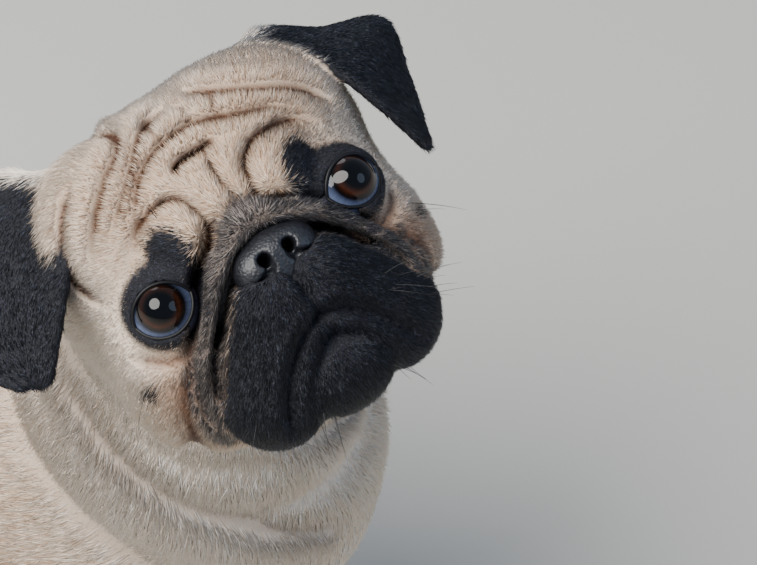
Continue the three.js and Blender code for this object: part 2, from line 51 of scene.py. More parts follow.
MM = 0.001
ORIGIN = np.array([-6.269, -28.199, 0.0])  # the row frame's origin in the dog's frame
HEAD_TURN = 40.4
HEAD_LIFT = 45.0
HEAD_TILT = 21.4
FACE_POINT = np.array([-42.0, -150.0, 360.0])  # midway between the eyes' centres
FACE_REACH = 75.0  # eyes and nose lie within this distance of the face point
EYE_SPREAD = 33.5
EYEBALL = 11.0
EYE_SPLAY = 14.0
NECK_ROOT = np.array([0.0, -88.0, 212.0])
NECK_WAY = np.array([-0.18, -0.3, 0.94]) / math.hypot(0.18, 0.3, 0.94)
SEED = 20240817
SIDES = ((1, "left"), (-1, "right"))

FLESH = (
    "head muzzle neck chest loin tail_base tail_curl ear_left ear_right foreleg_left foreleg_right "
    "forepaw_left forepaw_right hindleg_left hindleg_right hindpaw_left hindpaw_right"
).split()


def turned(axis, degrees):
    return np.array(Matrix.Rotation(math.radians(degrees), 3, axis))


# Columns are the head's own axes: x to the dog's left, u up the face and f out of it.
HEAD_AXES = (
    turned("Z", -HEAD_TURN)
    @ turned("X", -HEAD_LIFT)
    @ turned("Y", -HEAD_TILT)
    @ np.array([[1, 0, 0], [0, 0, -1], [0, 1, 0]])
)


def to_head(p):
    return (p - FACE_POINT) @ HEAD_AXES


def from_head(q):
    return np.asarray(q, float) @ HEAD_AXES.T + FACE_POINT


def both(make):
    return [make(1), make(-1)]


def dot(a, b):
    """The product of the vectors of two arrays, row by row."""
    return np.einsum("ij,ij->i", a, b)


def unit(v):
    return v / np.maximum(np.linalg.norm(v, axis=1, keepdims=True), 1e-9)


# Forms: each takes an (n, 3) array and gives values that are negative inside, close to millimetres.

FAR = 500.0  # stands for the value of a form that is nowhere near


def egg(p, centre, radii):
    q = (p - np.array(centre)) / np.array(radii)
    near = np.sqrt(dot(q, q))
    q = q / np.array(radii)
    slope = np.sqrt(dot(q, q))
    return near * (near - 1) / np.maximum(slope, 1e-6)


def eggs(p, forms):
    """An egg for each centre and radii, and its mirror image too where the centre is off the middle."""
    values = []
    for (x, y, z), radii in forms:
        for side in (1, -1) if x else (1,):
            values.append(egg(p, [side * x, y, z], radii))
    return values


def limb(p, start, end, start_radius, end_radius):
    start, end = np.array(start, float), np.array(end, float)
    way = end - start
    offset = p - start
    t = np.clip(offset @ way / (way @ way), 0, 1)
    away = offset - t[:, None] * way
    return np.sqrt(dot(away, away)) - start_radius - t * (end_radius - start_radius)


def smooth_path(points, steps):
    """A Catmull-Rom curve through the points, with steps stops for each span."""
    points = np.array(points, float)
    ends = np.vstack([2 * points[0] - points[1], points, 2 * points[-1] - points[-2]])
    stops = []
    for a, b, c, d in zip(ends, ends[1:], ends[2:], ends[3:]):
        for t in np.arange(steps) / steps:
            line = 2 * b + (c - a) * t
            stops.append(0.5 * (line + (2 * a - 5 * b + 4 * c - d) * t**2 + (3 * b - a - 3 * c + d) * t**3))
    return np.array(stops + [points[-1]])


def chain(p, stops, start_radius, end_radius):
    radii = np.linspace(start_radius, end_radius, len(stops))
    value = np.full(len(p), FAR)
    for a, b, ra, rb in zip(stops, stops[1:], radii, radii[1:]):
        value = np.minimum(value, limb(p, a, b, ra, rb))
    return value


def distance_to_path(points, path):
    """How far each point is from the path, and how far along the path its nearest place is, from 0 to 1."""
    nearest = np.full(len(points), FAR**2)
    place = np.zeros(len(points))
    for n, (a, b) in enumerate(zip(path, path[1:])):
        way = b - a
        offset = points - a
        t = np.clip(offset @ way / (way @ way), 0, 1)
        away = offset - t[:, None] * way
        square = dot(away, away)
        closer = square < nearest
        nearest[closer] = square[closer]
        place[closer] = (n + t[closer]) / (len(path) - 1)
    return np.sqrt(nearest), place


def ring(p, centre, normal, ring_radius, tube_radius):
    offset = p - centre
    along = offset @ normal
    out = np.sqrt(np.maximum(dot(offset, offset) - along**2, 0))
    return np.hypot(out - ring_radius, along) - tube_radius


def soften(a, b, reach):
    h = np.maximum(reach - np.abs(a - b), 0) / reach
    return np.minimum(a, b) - h * h * reach / 4


def carve(a, b, reach):
    """Takes form b out of form a with a rim rounded over reach."""
    return -soften(-a, b, reach)


def join(reach, forms):
    value = forms[0]
    for form in forms[1:]:
        value = soften(value, form, reach)
    return value


CLEAR = 26.0  # past this distance a form isn't worked out, because no join reaches so far


def within(form, p, centre, radius):
    """The form's values, worked out only near the ball that holds it."""
    reach = np.linalg.norm(p - np.array(centre), axis=1) - radius
    value = np.maximum(reach, CLEAR)
    near = reach < CLEAR
    value[near] = form(p[near])
    return value


# Head

NOSE_ROLL = [[0, 9, 14], [11, 6, 16], [22, -3, 15], [30, -15, 9], [35, -27, 1], [36, -40, -9]]
NOSE_ROLLS = both(lambda s: smooth_path([[s * x, u, f] for x, u, f in NOSE_ROLL], 3))
LID = 2.6  # how far the lids stand off the eyeball
OPENING = (9.7, 7.9)  # half width and half height of the almond between the lids
ALMOND_SHIFT = (OPENING[0] ** 2 - OPENING[1] ** 2) / (2 * OPENING[1])
ALMOND_RADIUS = OPENING[1] + ALMOND_SHIFT
LOOK_UP = 7.0  # how far the eyes look above the middle of the lids, in degrees
LID_REACH = 17.0  # the gap's cone ends this far from the eye's centre

# Each crease is a depth, a half width and a curve in [x, u] over the face. Wrinkles fade at both ends.
WRINKLES = [
    (3.2, 1.5, [[-34, 18], [-28, 23.5], [-22, 25.5], [-16, 26], [-11.5, 23], [-9.5, 17], [-10, 11], [-14, 5],
                [-22, 0]]),
    (3.2, 1.5, [[38, 19], [31, 25], [25, 27], [17, 27], [11, 23], [8.5, 17], [9, 10], [14, 5], [23, 0]]),
    (4.6, 1.3, [[-10, 30.5], [-6, 33], [-1, 33.4], [3, 33], [8, 34]]),
    (3.0, 1.1, [[2.2, 33], [1.6, 26], [1.7, 20], [3, 12]]),
    (3.2, 1.5, [[-35, 17], [-25, 28], [-18, 35.5], [-10, 39.5], [1, 41], [9, 39.5], [19, 35], [28, 31],
                [38, 23]]),
    (3.0, 1.7, [[-38, 23], [-26, 33], [-17, 40.5], [-12, 45], [-6, 48], [4, 50]]),
    (3.2, 1.8, [[-46, 20], [-35, 33], [-26, 41], [-18, 46], [-15.5, 51], [-20, 56], [-30, 57]]),
    (2.8, 1.8, [[46, 22], [38, 32], [27, 39], [16, 46], [8, 52]]),
    (2.0, 1.4, [[4.5, 38], [5.5, 49]]),
    (2.0, 1.4, [[-6, 39.5], [-6.5, 49]]),
    (2.0, 1.4, [[12, 37], [15, 47]]),
    (2.6, 1.7, [[-46, 8], [-50, 24], [-45, 36], [-34, 47]]),
]
# These run on both sides: under the eye, down the cheek, and above and below the roll over the nose.
PAIRED_WRINKLES = [
    (2.2, 1.8, [[20, -13], [30, -16], [41, -14.5], [50, -6]]),
    (2.6, 2.2, [[38, -18], [45, -32], [44, -48]]),
    (3.0, 1.3, [[2, 13], [9, 11.5], [20, 3], [29, -8.5], [37.5, -20], [40, -32], [40, -42]]),
    (3.0, 1.3, [[0, 3.2], [10, -0.5], [20.5, -8.5], [29, -17.5], [34, -27], [36.5, -39]]),
]
for depth, width, path in PAIRED_WRINKLES:
    WRINKLES += both(lambda s: (depth, width, [[s * x, u] for x, u in path]))
# The lines of the mouth fade only at their outer ends, and the groove over the lip at neither end.
LIP_LINES = [
    (3.4, 1.4, [[-25, -53], [-21.5, -44], [-16, -36.5], [-8, -29.5], [0, -26]]),
    (3.4, 1.4, [[25, -53], [20.5, -44], [15, -36.5], [8, -29.5], [0, -26]]),
]
LIP_GROOVE = (2.2, 1.0, [[0, -9], [0, -27]])
CREASES = [(depth, width, smooth_path(path, 4), (1, 1)) for depth, width, path in WRINKLES]
CREASES += [(depth, width, smooth_path(path, 4), (1, 0)) for depth, width, path in LIP_LINES]
CREASES.append((*LIP_GROOVE[:2], smooth_path(LIP_GROOVE[2], 4), (0, 0)))
CREASE_FADE = 0.16  # the share of a crease's length over which its end fades
FACE_FRONT = -42.0  # wrinkles end behind this f
LIP_FRONT = -12.0  # the lines of the mouth end behind this f


def furrows(q):
    """How far the face sinks at each point, and how much painted shade it gets for lying deep in a crease,
    from 0 to 1.
    """
    sunk = np.zeros(len(q))
    crease_shade = np.zeros(len(q))
    front = q[:, 2] > FACE_FRONT
    flat, f = q[front, :2], q[front, 2]
    valley, bulge, darkest = np.zeros(len(flat)), np.zeros(len(flat)), np.zeros(len(flat))
    for depth, width, path, (fade_start, fade_end) in CREASES:
        away, place = distance_to_path(flat, path)
        away = away / width
        strength = np.ones(len(flat))
        for fades, from_end in ((fade_start, place), (fade_end, 1 - place)):
            if fades:
                strength = strength * np.clip(from_end / CREASE_FADE, 0, 1)
        back = FACE_FRONT if fade_start == fade_end == 1 else LIP_FRONT
        strength = strength * np.clip((f - back) / 14, 0, 1)
        bottom = np.exp(-(away**2))
        valley = np.maximum(valley, depth * strength * (0.5 * bottom + 0.62 * np.exp(-away / 2.2)))
        bulge = np.maximum(bulge, depth * strength * 0.3 * np.exp(-(((away - 3.2) / 1.5) ** 2)))
        # painted shade, darker the deeper the crease and the nearer its bottom
        darkest = np.maximum(darkest, strength * (bottom + 0.35 * np.exp(-away / 1.6)) * depth / 3.4)
    sunk[front] = valley - bulge
    crease_shade[front] = np.minimum(darkest, 1.2)
    return sunk, crease_shade


def eye_centre(side):
    return np.array([side * EYE_SPREAD, 0.0, 0.0])


def gaze(side):
    splay = math.radians(side * EYE_SPLAY)
    return np.array([math.sin(splay), 0.0, math.cos(splay)])


def eye_axes(side):
    """Rows: across the eye, up it and out of it, in the head's frame."""
    out = gaze(side)
    up = np.array([0.0, 1.0, 0.0])
    return np.array([np.cross(up, out), up, out])


def look_axes(side):
    """As eye_axes, for the eyeball itself, which looks a little above the middle of its lids."""
    lift = math.radians(LOOK_UP)
    across, up, out = eye_axes(side)
    out, up = math.cos(lift) * out + math.sin(lift) * up, math.cos(lift) * up - math.sin(lift) * out
    return np.array([across, up, out])


def opening(q, side):
    e = (q - eye_centre(side)) @ eye_axes(side).T
    far = np.linalg.norm(e, axis=1) + 1e-6
    across, up = e[:, 0] * EYEBALL / far, e[:, 1] * EYEBALL / far
    almond = np.hypot(across, np.abs(up) + ALMOND_SHIFT) - ALMOND_RADIUS
    value = np.maximum(almond, far - LID_REACH)
    return np.where(e[:, 2] > 0, value, FAR)


SKULL = [
    ([0, 12, -42], [58, 46, 50]),
    ([0, -34, -22], [37, 21, 38]),  # under the jaw
    ([22, 27, -20], [33, 29, 26]),  # forehead
    ([31, -20, -25], [26, 29, 30]),  # cheeks
]
MUZZLE = [([0, -14, 9], [21, 15, 14]), ([0, -45, 8], [18, 14, 17])]
LIP_PAD = ([8, -20, 12], [21, -40, 4], 17, 17.5)
BROWS = [([20, 15, 3], [10, 14, 9])]
FACE_COAT = 1.1


def lip_pad(q, side):
    start, end, *radii = LIP_PAD
    return limb(q, [side * start[0], *start[1:]], [side * end[0], *end[1:]], *radii)


def face(q):
    skull = join(14, eggs(q, SKULL))
    muzzle = join(3, eggs(q, MUZZLE) + both(lambda s: lip_pad(q, s)))
    lids = both(lambda s: np.linalg.norm(q - eye_centre(s), axis=1) - EYEBALL - LID)
    raised = join(5, [skull] + eggs(q, BROWS) + lids)
    rolls = np.minimum(*[chain(q, path, 6, 5) for path in NOSE_ROLLS])
    flesh = soften(soften(raised, muzzle, 6), rolls, 3)
    near = np.abs(flesh) < 12
    sunk = np.zeros(len(q))
    sunk[near] = furrows(q[near])[0]
    return flesh + sunk + FACE_COAT


# Ears: each hangs between a front and a back edge, root first, in the head's frame.

EAR_THICKNESS = 3.6
EAR_BATCH = 4000  # points compared with the sheet at once
EARS = {
    1: (
        [[24, 46, -26], [36, 52, -22], [49, 41, -15], [55, 30, -10], [59.5, 15, -8], [66, -4, -14]],
        [[36, 42, -58], [47, 54, -56], [66, 44, -53], [85, 36, -46], [79, 17, -36], [69, -2, -20]],
        4,
    ),
    -1: (
        [[-22, 46, -26], [-34, 50, -18], [-43, 39, -12], [-49, 29, -9], [-60, 16, -9], [-73, 2, -12]],
        [[-34, 42, -58], [-42, 60, -54], [-62, 60, -50], [-84, 42, -42], [-92, 24, -32], [-81, 5, -16]],
        -6,
    ),
}


def ear_sheet(side, rows=92, columns=54):
    """Points of an ear's middle sheet, their normals, and how far each is down and across the ear."""
    front, back, camber = EARS[side]
    fore, hind = smooth_path(front, 20), smooth_path(back, 20)
    s, t = np.meshgrid(np.linspace(0, 1, rows), np.linspace(0, 1, columns), indexing="ij")
    at = s * (len(fore) - 1)
    low = np.minimum(at.astype(int), len(fore) - 2)
    mix = (at - low)[..., None]
    edge = [path[low] * (1 - mix) + path[low + 1] * mix for path in (fore, hind)]
    lift = camber * 4 * t * (1 - t) * np.sin(np.pi * np.minimum(s + 0.15, 1)) ** 0.7
    sheet = edge[0] * (1 - t[..., None]) + edge[1] * t[..., None]
    sheet += np.stack([lift, np.abs(lift) * 0.4, np.zeros_like(lift)], -1)
    across = np.gradient(sheet, axis=1)
    down = np.gradient(sheet, axis=0)
    normal = np.cross(across, down)
    normal /= np.linalg.norm(normal, axis=-1, keepdims=True) + 1e-9
    return sheet.reshape(-1, 3), normal.reshape(-1, 3), s.ravel(), t.ravel(), down.reshape(-1, 3)


EAR_SHEETS = {side: ear_sheet(side) for side in (1, -1)}


def nearest_on_ear(q, side):
    sheet = EAR_SHEETS[side][0]
    found = np.empty(len(q), int)
    sheet = sheet.astype(np.float32)
    size = (sheet**2).sum(1)
    for start in range(0, len(q), EAR_BATCH):
        part = q[start : start + EAR_BATCH].astype(np.float32)
        found[start : start + EAR_BATCH] = np.argmin(size - 2 * part @ sheet.T, axis=1)
    return found


def ear(q, side):
    sheet, normals, s, _, _ = EAR_SHEETS[side]
    found = nearest_on_ear(q, side)
    offset = q - sheet[found]
    off_sheet = dot(offset, normals[found])
    sideways = np.sqrt(np.maximum((offset**2).sum(1) - off_sheet**2, 0))
    half = EAR_THICKNESS / 2 * (1 - 0.15 * s[found])
    return np.hypot(off_sheet, np.maximum(sideways - 0.7, 0)) - half


# Body


def along_neck(distance):
    return NECK_ROOT + distance * NECK_WAY


def leaned(x, y, z):
    return np.array([x, y, z]) / math.sqrt(x * x + y * y + z * z)


# Loose skin lies round the neck in rolls that sag at the throat.
# Each is a place along the neck, the way its ring faces, the ring's radius and the roll's own.
NECK_ROLLS = [
    (70, leaned(-0.3, -0.6, 0.85), 47, 13),
    (36, leaned(0.05, -0.55, 0.9), 54, 14),
]
NECK_FOLDS = [
    # points that a sagging crease passes through, from the nape side down to the chest, and its depth
    ([[-62, -70, 300], [-66, -108, 268], [-48, -142, 236], [-18, -158, 214]], 4.0),
    ([[-58, -92, 330], [-54, -128, 296], [-30, -152, 268], [4, -158, 256]], 3.2),
    ([[-70, -52, 262], [-74, -88, 236], [-62, -122, 206]], 3.0),
    ([[58, -86, 300], [56, -120, 268], [34, -148, 238]], 3.5),
]
NECK_FOLDS = [(smooth_path(path, 4), depth) for path, depth in NECK_FOLDS]


def neck(p):
    return join(
        12,
        [limb(p, along_neck(-10), along_neck(104), 63, 50)]
        + [ring(p, along_neck(at), way, radius, roll) for at, way, radius, roll in NECK_ROLLS],
    )


def slack(p):
    """How far the skin sinks in the slack folds of the neck."""
    near = np.linalg.norm(p - along_neck(40), axis=1) < 130
    deepest = np.zeros(near.sum())
    for path, depth in NECK_FOLDS:
        away = distance_to_path(p[near], path)[0] / 5
        deepest = np.maximum(deepest, depth * np.exp(-(away**1.3)))
    sunk = np.zeros(len(p))
    sunk[near] = deepest
    return sunk


TRUNK = [
    ([0, -42, 206], [74, 98, 70]),  # ribs
    ([0, 42, 203], [64, 92, 58]),  # loin
    ([0, 92, 208], [62, 50, 58]),  # rump
    ([0, -114, 200], [52, 46, 54]),  # front of the chest
    ([47, -72, 190], [28, 42, 56]),  # shoulders
    ([46, 96, 170], [29, 46, 60]),  # thighs
]


def trunk(p):
    return join(30, eggs(p, TRUNK))


# A leg stands at x. Each length of it has [y, z] for both ends and then the radius at both ends.
# The paw and the ball that holds the whole leg have [y, z] and their size.
FORE = {
    "x": 54,
    "lengths": [
        ([-64, 162], [-68, 96], 29, 20),
        ([-68, 96], [-70, 52], 20, 16.5),
        ([-70, 52], [-76, 22], 16.5, 18),
    ],
    "paw": ([-80, 12.5], [21, 26, 17]),
    "rounding": 12,
    "toe": [-99, 7.5],
    "ball": ([-72, 85], 110),
    "coat": 1.4,
}
HIND = {
    "x": 52,
    "lengths": [
        ([92, 170], [72, 124], 42, 27),
        ([72, 124], [124, 74], 26, 15),
        ([124, 74], [112, 26], 14.5, 14),
    ],
    "paw": ([102, 12], [19, 25, 16.5]),
    "rounding": 14,
    "toe": [80, 7.5],
    "ball": ([98, 90], 125),
    "coat": 1.6,
}
TOE_OFFSETS = [(-14, 5), (-5, -1), (5, -1), (14, 5)]
TOE_RADII = [6.2, 12, 10.5]


def toe_middles(side, shape):
    y, z = shape["toe"]
    return [np.array([side * shape["x"] + across, y + back, z]) for across, back in TOE_OFFSETS]


def leg(p, side, shape):
    x = side * shape["x"]
    paw, radii = shape["paw"]
    lengths = [limb(p, [x, *start], [x, *end], top, low) for start, end, top, low in shape["lengths"]]
    whole_leg = join(shape["rounding"], lengths + [egg(p, [x, *paw], radii)])
    return join(2.5, [whole_leg] + [egg(p, toe, TOE_RADII) for toe in toe_middles(side, shape)])


TAIL_PIVOT = (112, 286)
TAIL_START, TAIL_TURNS = -55, 1.4
TAIL_RISE, TAIL_SIDE, TAIL_RADIUS = (27, 12), (4, -30), (16, 9.5)


def tail_stops(count=42):
    t = np.linspace(0, 1, count)
    angle = np.radians(TAIL_START) + t * TAIL_TURNS * 2 * np.pi
    out = TAIL_RISE[0] + (TAIL_RISE[1] - TAIL_RISE[0]) * t**0.8
    ease = np.clip((t - 0.1) / 0.75, 0, 1)
    ease = ease * ease * (3 - 2 * ease)
    across = TAIL_SIDE[0] + (TAIL_SIDE[1] - TAIL_SIDE[0]) * ease
    return np.stack([across, TAIL_PIVOT[0] + out * np.cos(angle), TAIL_PIVOT[1] + out * np.sin(angle)], 1)


TAIL_STOPS = tail_stops()
TAIL_COAT = 2.2


def tail(p):
    return chain(p, TAIL_STOPS, TAIL_RADIUS[0] - TAIL_COAT, TAIL_RADIUS[1] - TAIL_COAT)


HEAD_MIDDLE = from_head([0, 0, -34])
LEG_NAMES = ("fore_left", "fore_right", "hind_left", "hind_right")
# Each coat is how far the skin lies inside the solids, so that the tufts end at their outline.
NECK_COAT, TRUNK_COAT = 2.6, 2.4


def groups(p):
    """Each part of the body's own value, so that its share of a point can be worked out."""
    parts = {
        "head": within(lambda near: face(to_head(near)), p, HEAD_MIDDLE, 90),
        "neck": within(neck, p, along_neck(47), 125),
        "slack": slack(p),
        "trunk": trunk(p) + TRUNK_COAT,
    }
    for name, shape in (("fore_", FORE), ("hind_", HIND)):
        middle, reach = shape["ball"]
        for side, hand in SIDES:
            value = within(lambda near: leg(near, side, shape), p, [side * shape["x"], *middle], reach)
            parts[name + hand] = value + shape["coat"]
    parts["tail"] = within(tail, p, [-14, 112, 286], 52)
    parts["ear_left"] = within(lambda near: ear(to_head(near), 1), p, from_head([58, 26, -34]), 55)
    parts["ear_right"] = within(lambda near: ear(to_head(near), -1), p, from_head([-58, 30, -32]), 58)
    return parts


def whole(parts):
    body = join(20, [parts["trunk"]] + [parts[name] for name in LEG_NAMES])
    value = join(18, [body, join(12, [parts["head"], parts["neck"] + NECK_COAT])])
    value = value + parts["slack"]
    value = soften(value, parts["tail"], 7)
    return soften(soften(value, parts["ear_left"], 4), parts["ear_right"], 4)


NOSE_PAD = ([0, -4.3, 15], [12.8, 7.8, 9])


def nose_pad(q):
    wings = both(lambda s: egg(q, [s * 7.6, -6, 16.6], [6.2, 6.2, 6.6]))
    column = egg(q, [0, -10.5, 16], [5, 5.5, 7])
    return join(4, [egg(q, *NOSE_PAD), column] + wings)


def dog(p):
    value = whole(groups(p))
    near = np.linalg.norm(p - FACE_POINT, axis=1) < FACE_REACH
    q = to_head(p[near])
    flesh = value[near]
    for side in (1, -1):
        ball = np.linalg.norm(q - eye_centre(side), axis=1) - EYEBALL + 0.5
        flesh = carve(flesh, np.minimum(opening(q, side), ball), 1.6)
    value[near] = np.maximum(flesh, -(nose_pad(q) + 0.8))
    return value


# Surfaces

CORNERS = np.array([[c & 1, (c >> 1) & 1, c >> 2] for c in range(8)])
EDGES = [(c, c | bit) for c in range(8) for bit in (1, 2, 4) if not c & bit]
COARSE = 4  # the form is tried on a grid this many times coarser first
BATCH = 400000  # points worked out at once
SETTLE_PASSES = 2


def lattice_values(form, low, high, step):
    """The form's value at each point of a grid, worked out in full only near the surface."""
    cells = np.ceil((np.array(high) - low) / (step * COARSE)).astype(int)
    centres = [low[k] + step * COARSE * (np.arange(cells[k]) + 0.5) for k in range(3)]
    middle = form(np.stack(np.meshgrid(*centres, indexing="ij"), -1).reshape(-1, 3)).reshape(cells)
    values = middle.astype(np.float32)
    for axis in range(3):
        values = np.repeat(values, COARSE, axis=axis)
    values = np.pad(values, [(0, 1)] * 3, mode="edge")
    close = np.argwhere(np.abs(middle) < 0.9 * step * COARSE + 4.5)
    exact = np.zeros(values.shape, bool)
    for offset in np.ndindex(COARSE + 1, COARSE + 1, COARSE + 1):
        i, j, k = (close * COARSE + offset).T
        exact[i, j, k] = True
    index = np.argwhere(exact)
    for start in range(0, len(index), BATCH):
        part = index[start : start + BATCH]
        values[tuple(part.T)] = form(low + part * step)
    return values


def surface(form, low, high, step):
    """Vertices and quads of the form's surface: one vertex for each grid cell that it crosses."""
    low = np.array(low, float)
    values = lattice_values(form, low, high, step)
    inside = values < 0
    cells = tuple(np.array(values.shape) - 1)
    count = np.zeros(cells, np.int8)
    for a, b, c in CORNERS:
        count += inside[a : a + cells[0], b : b + cells[1], c : c + cells[2]]
    crossed = np.argwhere((count > 0) & (count < 8))
    corner = np.stack([values[tuple((crossed + c).T)] for c in CORNERS], 1)
    total = np.zeros((len(crossed), 3))
    hits = np.zeros(len(crossed))
    for a, b in EDGES:
        cut = (corner[:, a] < 0) != (corner[:, b] < 0)
        t = corner[cut, a] / (corner[cut, a] - corner[cut, b])
        total[cut] += CORNERS[a] + t[:, None] * (CORNERS[b] - CORNERS[a])
        hits[cut] += 1
    points = low + (crossed + total / hits[:, None]) * step
    number = np.full(cells, -1, np.int64)
    number[tuple(crossed.T)] = np.arange(len(crossed))
    quads = []
    for axis in range(3):
        step_along, first, second = np.roll(np.eye(3, dtype=int), -axis, axis=0)
        shape = np.array(values.shape) - step_along
        start = inside[: shape[0], : shape[1], : shape[2]]
        end = inside[step_along[0] :, step_along[1] :, step_along[2] :]
        at = np.argwhere(start != end)
        at = at[(at @ (first + second) > 0) & (at @ first > 0) & (at @ second > 0)]
        ring_cells = [at, at - first, at - first - second, at - second]
        quad = np.stack([number[tuple(cell.T)] for cell in ring_cells], 1)
        leaves = start[tuple(at.T)]
        quad[~leaves] = quad[~leaves][:, ::-1]
        quads.append(quad)
    quads = np.vstack(quads)
    for _ in range(SETTLE_PASSES):
        points = settle(form, points, 0.35 * step)
    return points, quads


def slope(form, points, nudge=0.4):
    here = form(points)
    return here, np.stack([form(points + nudge * axis) - here for axis in np.eye(3)], 1) / nudge


def settle(form, points, most):
    """Moves points down the form's slope on to its surface."""
    here, way = slope(form, points)
    move = -(here / np.maximum((way**2).sum(1), 0.25))[:, None] * way
    far = np.linalg.norm(move, axis=1, keepdims=True)
    return points + move * np.minimum(1, most / np.maximum(far, 1e-9))


def add_object(name, data):
    made = bpy.data.objects.new(name, data)
    bpy.context.scene.collection.objects.link(made)
    return made


def make_mesh(name, points, faces, material, smooth=True, shift=True):
    """A mesh object from millimetre points in the dog's frame and an array of triangles or quads."""
    faces = np.asarray(faces, np.int32)
    sides = faces.shape[1]
    mesh = bpy.data.meshes.new(name)
    mesh.vertices.add(len(points))
    mesh.loops.add(faces.size)
    mesh.polygons.add(len(faces))
    placed = (np.asarray(points) - (ORIGIN if shift else 0)) * MM
    mesh.vertices.foreach_set("co", placed.astype(np.float32).ravel())
    mesh.loops.foreach_set("vertex_index", faces.ravel())
    mesh.polygons.foreach_set("loop_start", np.arange(len(faces), dtype=np.int32) * sides)
    mesh.polygons.foreach_set("loop_total", np.full(len(faces), sides, np.int32))
    mesh.polygons.foreach_set("use_smooth", np.full(len(faces), smooth, bool))
    mesh.materials.append(material)
    mesh.update(calc_edges=True)
    return add_object(name, mesh)


def paint(made, name, colours):
    """Stores four numbers for each vertex, for the material to mix its colours by."""
    layer = made.data.color_attributes.new(name, "FLOAT_COLOR", "POINT")
    layer.data.foreach_set("color", np.ascontiguousarray(colours, np.float32).ravel())


# Markings, each from 0 to 1


def step_down(value, soft):
    return 1 / (1 + np.exp(np.clip(value / soft, -30, 30)))


# Half the mask's width for each height on the face.
MASK_HEIGHTS = [-62, -60, -57, -50, -43, -33.5, -27, -18.4, -14, -7.5, -3.4, 1, 4]
MASK_WIDTHS = [0, 14, 31, 39.5, 41, 41, 39, 34, 29, 22, 17, 12, 0]


def markings(p, parts):
    """Shares of black, cream, painted crease shade (with the real dark trace down the back), grey and rust at
    each point.
    """
    q = to_head(p)
    x, u, f = q.T
    away = np.abs(x)
    neck_value = parts["neck"] + NECK_COAT
    on_head = step_down(parts["head"] - np.minimum(neck_value, parts["trunk"]) - 4, 3)
    mirrored = np.stack([away, u, f], 1)

    def spot(centre, radii, soft):
        return step_down(egg(mirrored, centre, radii), soft)

    crease_shade = np.zeros(len(p))
    near = on_head > 0.02
    crease_shade[near] = furrows(q[near])[1]
    mask = step_down(away - np.interp(u, MASK_HEIGHTS, MASK_WIDTHS, left=-20, right=-20), 1.3)
    mask = mask * step_down(-7 - f, 2.5)
    patch = np.maximum(spot([31.5, 0.5, 8], [16, 14.5, 30], 1.4), spot([24, 11, 8], [7.5, 10, 30], 1.3))
    mole = step_down(np.hypot(away - 50, u + 19) - 2.6, 0.6)
    roll = step_down(np.minimum(*[chain(q, path, 8.8, 7) for path in NOSE_ROLLS]), 1.4) * on_head
    black = np.maximum.reduce([mask * (1 - 0.75 * roll), patch * (1 - 0.5 * roll), mole * 0.8]) * on_head
    between = spot([0, 13, 10], [8.5, 9, 30], 2.5) * on_head
    grey = np.maximum(roll, between * 0.25)
    ears = np.minimum(parts["ear_left"], parts["ear_right"])
    on_ear = step_down(ears - np.minimum(parts["head"], neck_value) + 0.5, 0.7)
    root = np.zeros(len(p))
    for side, hand in SIDES:
        near = parts["ear_" + hand] < 6
        down = EAR_SHEETS[side][2][nearest_on_ear(q[near], side)]
        root[near] = np.maximum(root[near], 1 - np.clip((down - 0.14) / 0.16, 0, 1))
    black = np.maximum(black, on_ear * (1 - root))
    throat = step_down(neck_value - np.minimum(parts["head"], parts["trunk"]) - 6, 11)
    nape = step_down(-52 - p[:, 1], 16)
    belly = step_down(p[:, 2] - 150, 10) * step_down(np.abs(p[:, 0]) - 34, 8)
    chest = step_down(p[:, 1] + 112, 14) * step_down(p[:, 2] - 262, 16)
    cheeks = spot([49, 6, -30], [16, 40, 36], 5) * on_head
    crown = spot([0, 62, -40], [60, 22, 40], 6) * on_head
    cream = throat * 0.85 * (1 - 0.65 * nape) + belly * 0.7 + chest * 0.7 + cheeks * 0.7 + crown * 0.6
    cream = np.clip(cream + 0.9 * np.maximum(root * on_ear, 0), 0, 1)
    rust = spot([38, -23, 4], [12, 8, 30], 3) * on_head * 0.8
    back = step_down(np.abs(p[:, 0]) - 12, 5) * step_down(228 - p[:, 2], 8) * step_down(-70 - p[:, 1], 14)
    # Painted shade in the face's creases and the neck's slack folds, together with the real dark trace down
    # the back.
    fold = np.maximum(np.clip(crease_shade, 0, 1) ** 1.4, 0.3 * back * (1 - on_head))
    fold = np.maximum(fold, 0.14 * parts["slack"])
    return {"black": black, "cream": cream, "fold": fold, "grey": grey, "rust": rust}


def crisp(share, shift=0.0):
    """Draws a soft share in to a narrow border; shift moves the border for each tuft."""
    return np.clip((share + shift - 0.36) / 0.28, 0, 1)


# The lie of the coat


def shares(parts, soft=6.0):
    """Each part's share of each point: the nearest part has most."""
    parts = {name: value for name, value in parts.items() if name != "slack"}
    values = np.stack(list(parts.values()), 1)
    weight = np.exp(-np.clip((values - values.min(1, keepdims=True)) / soft, 0, 30))
    weight /= weight.sum(1, keepdims=True)
    return dict(zip(parts, weight.T))


LIE_SOURCE = np.array([0.0, 0.0, 24.0])  # the nose, from which the head's coat runs back


def lie(p, parts):
    q = to_head(p)
    share = shares(parts)
    over_face = unit(q - LIE_SOURCE + np.array([0, -3, 0])) @ HEAD_AXES.T
    way = share["head"][:, None] * over_face
    way = way + share["neck"][:, None] * -NECK_WAY
    way = way + share["trunk"][:, None] * np.array([0, 1, -0.35])
    for name in LEG_NAMES:
        way = way + share[name][:, None] * np.array([0, 0.25, -1])
    along_tail = np.gradient(TAIL_STOPS, axis=0)
    near = parts["tail"] < 12
    gap = ((p[near, None, :] - TAIL_STOPS[None]) ** 2).sum(2)
    way[near] += share["tail"][near, None] * unit(along_tail[np.argmin(gap, 1)])
    for side, hand in SIDES:
        name = "ear_" + hand
        near = parts[name] < 8
        down = EAR_SHEETS[side][4][nearest_on_ear(q[near], side)]
        way[near] += share[name][near, None] * (unit(down) @ HEAD_AXES.T)
    return way


# Materials


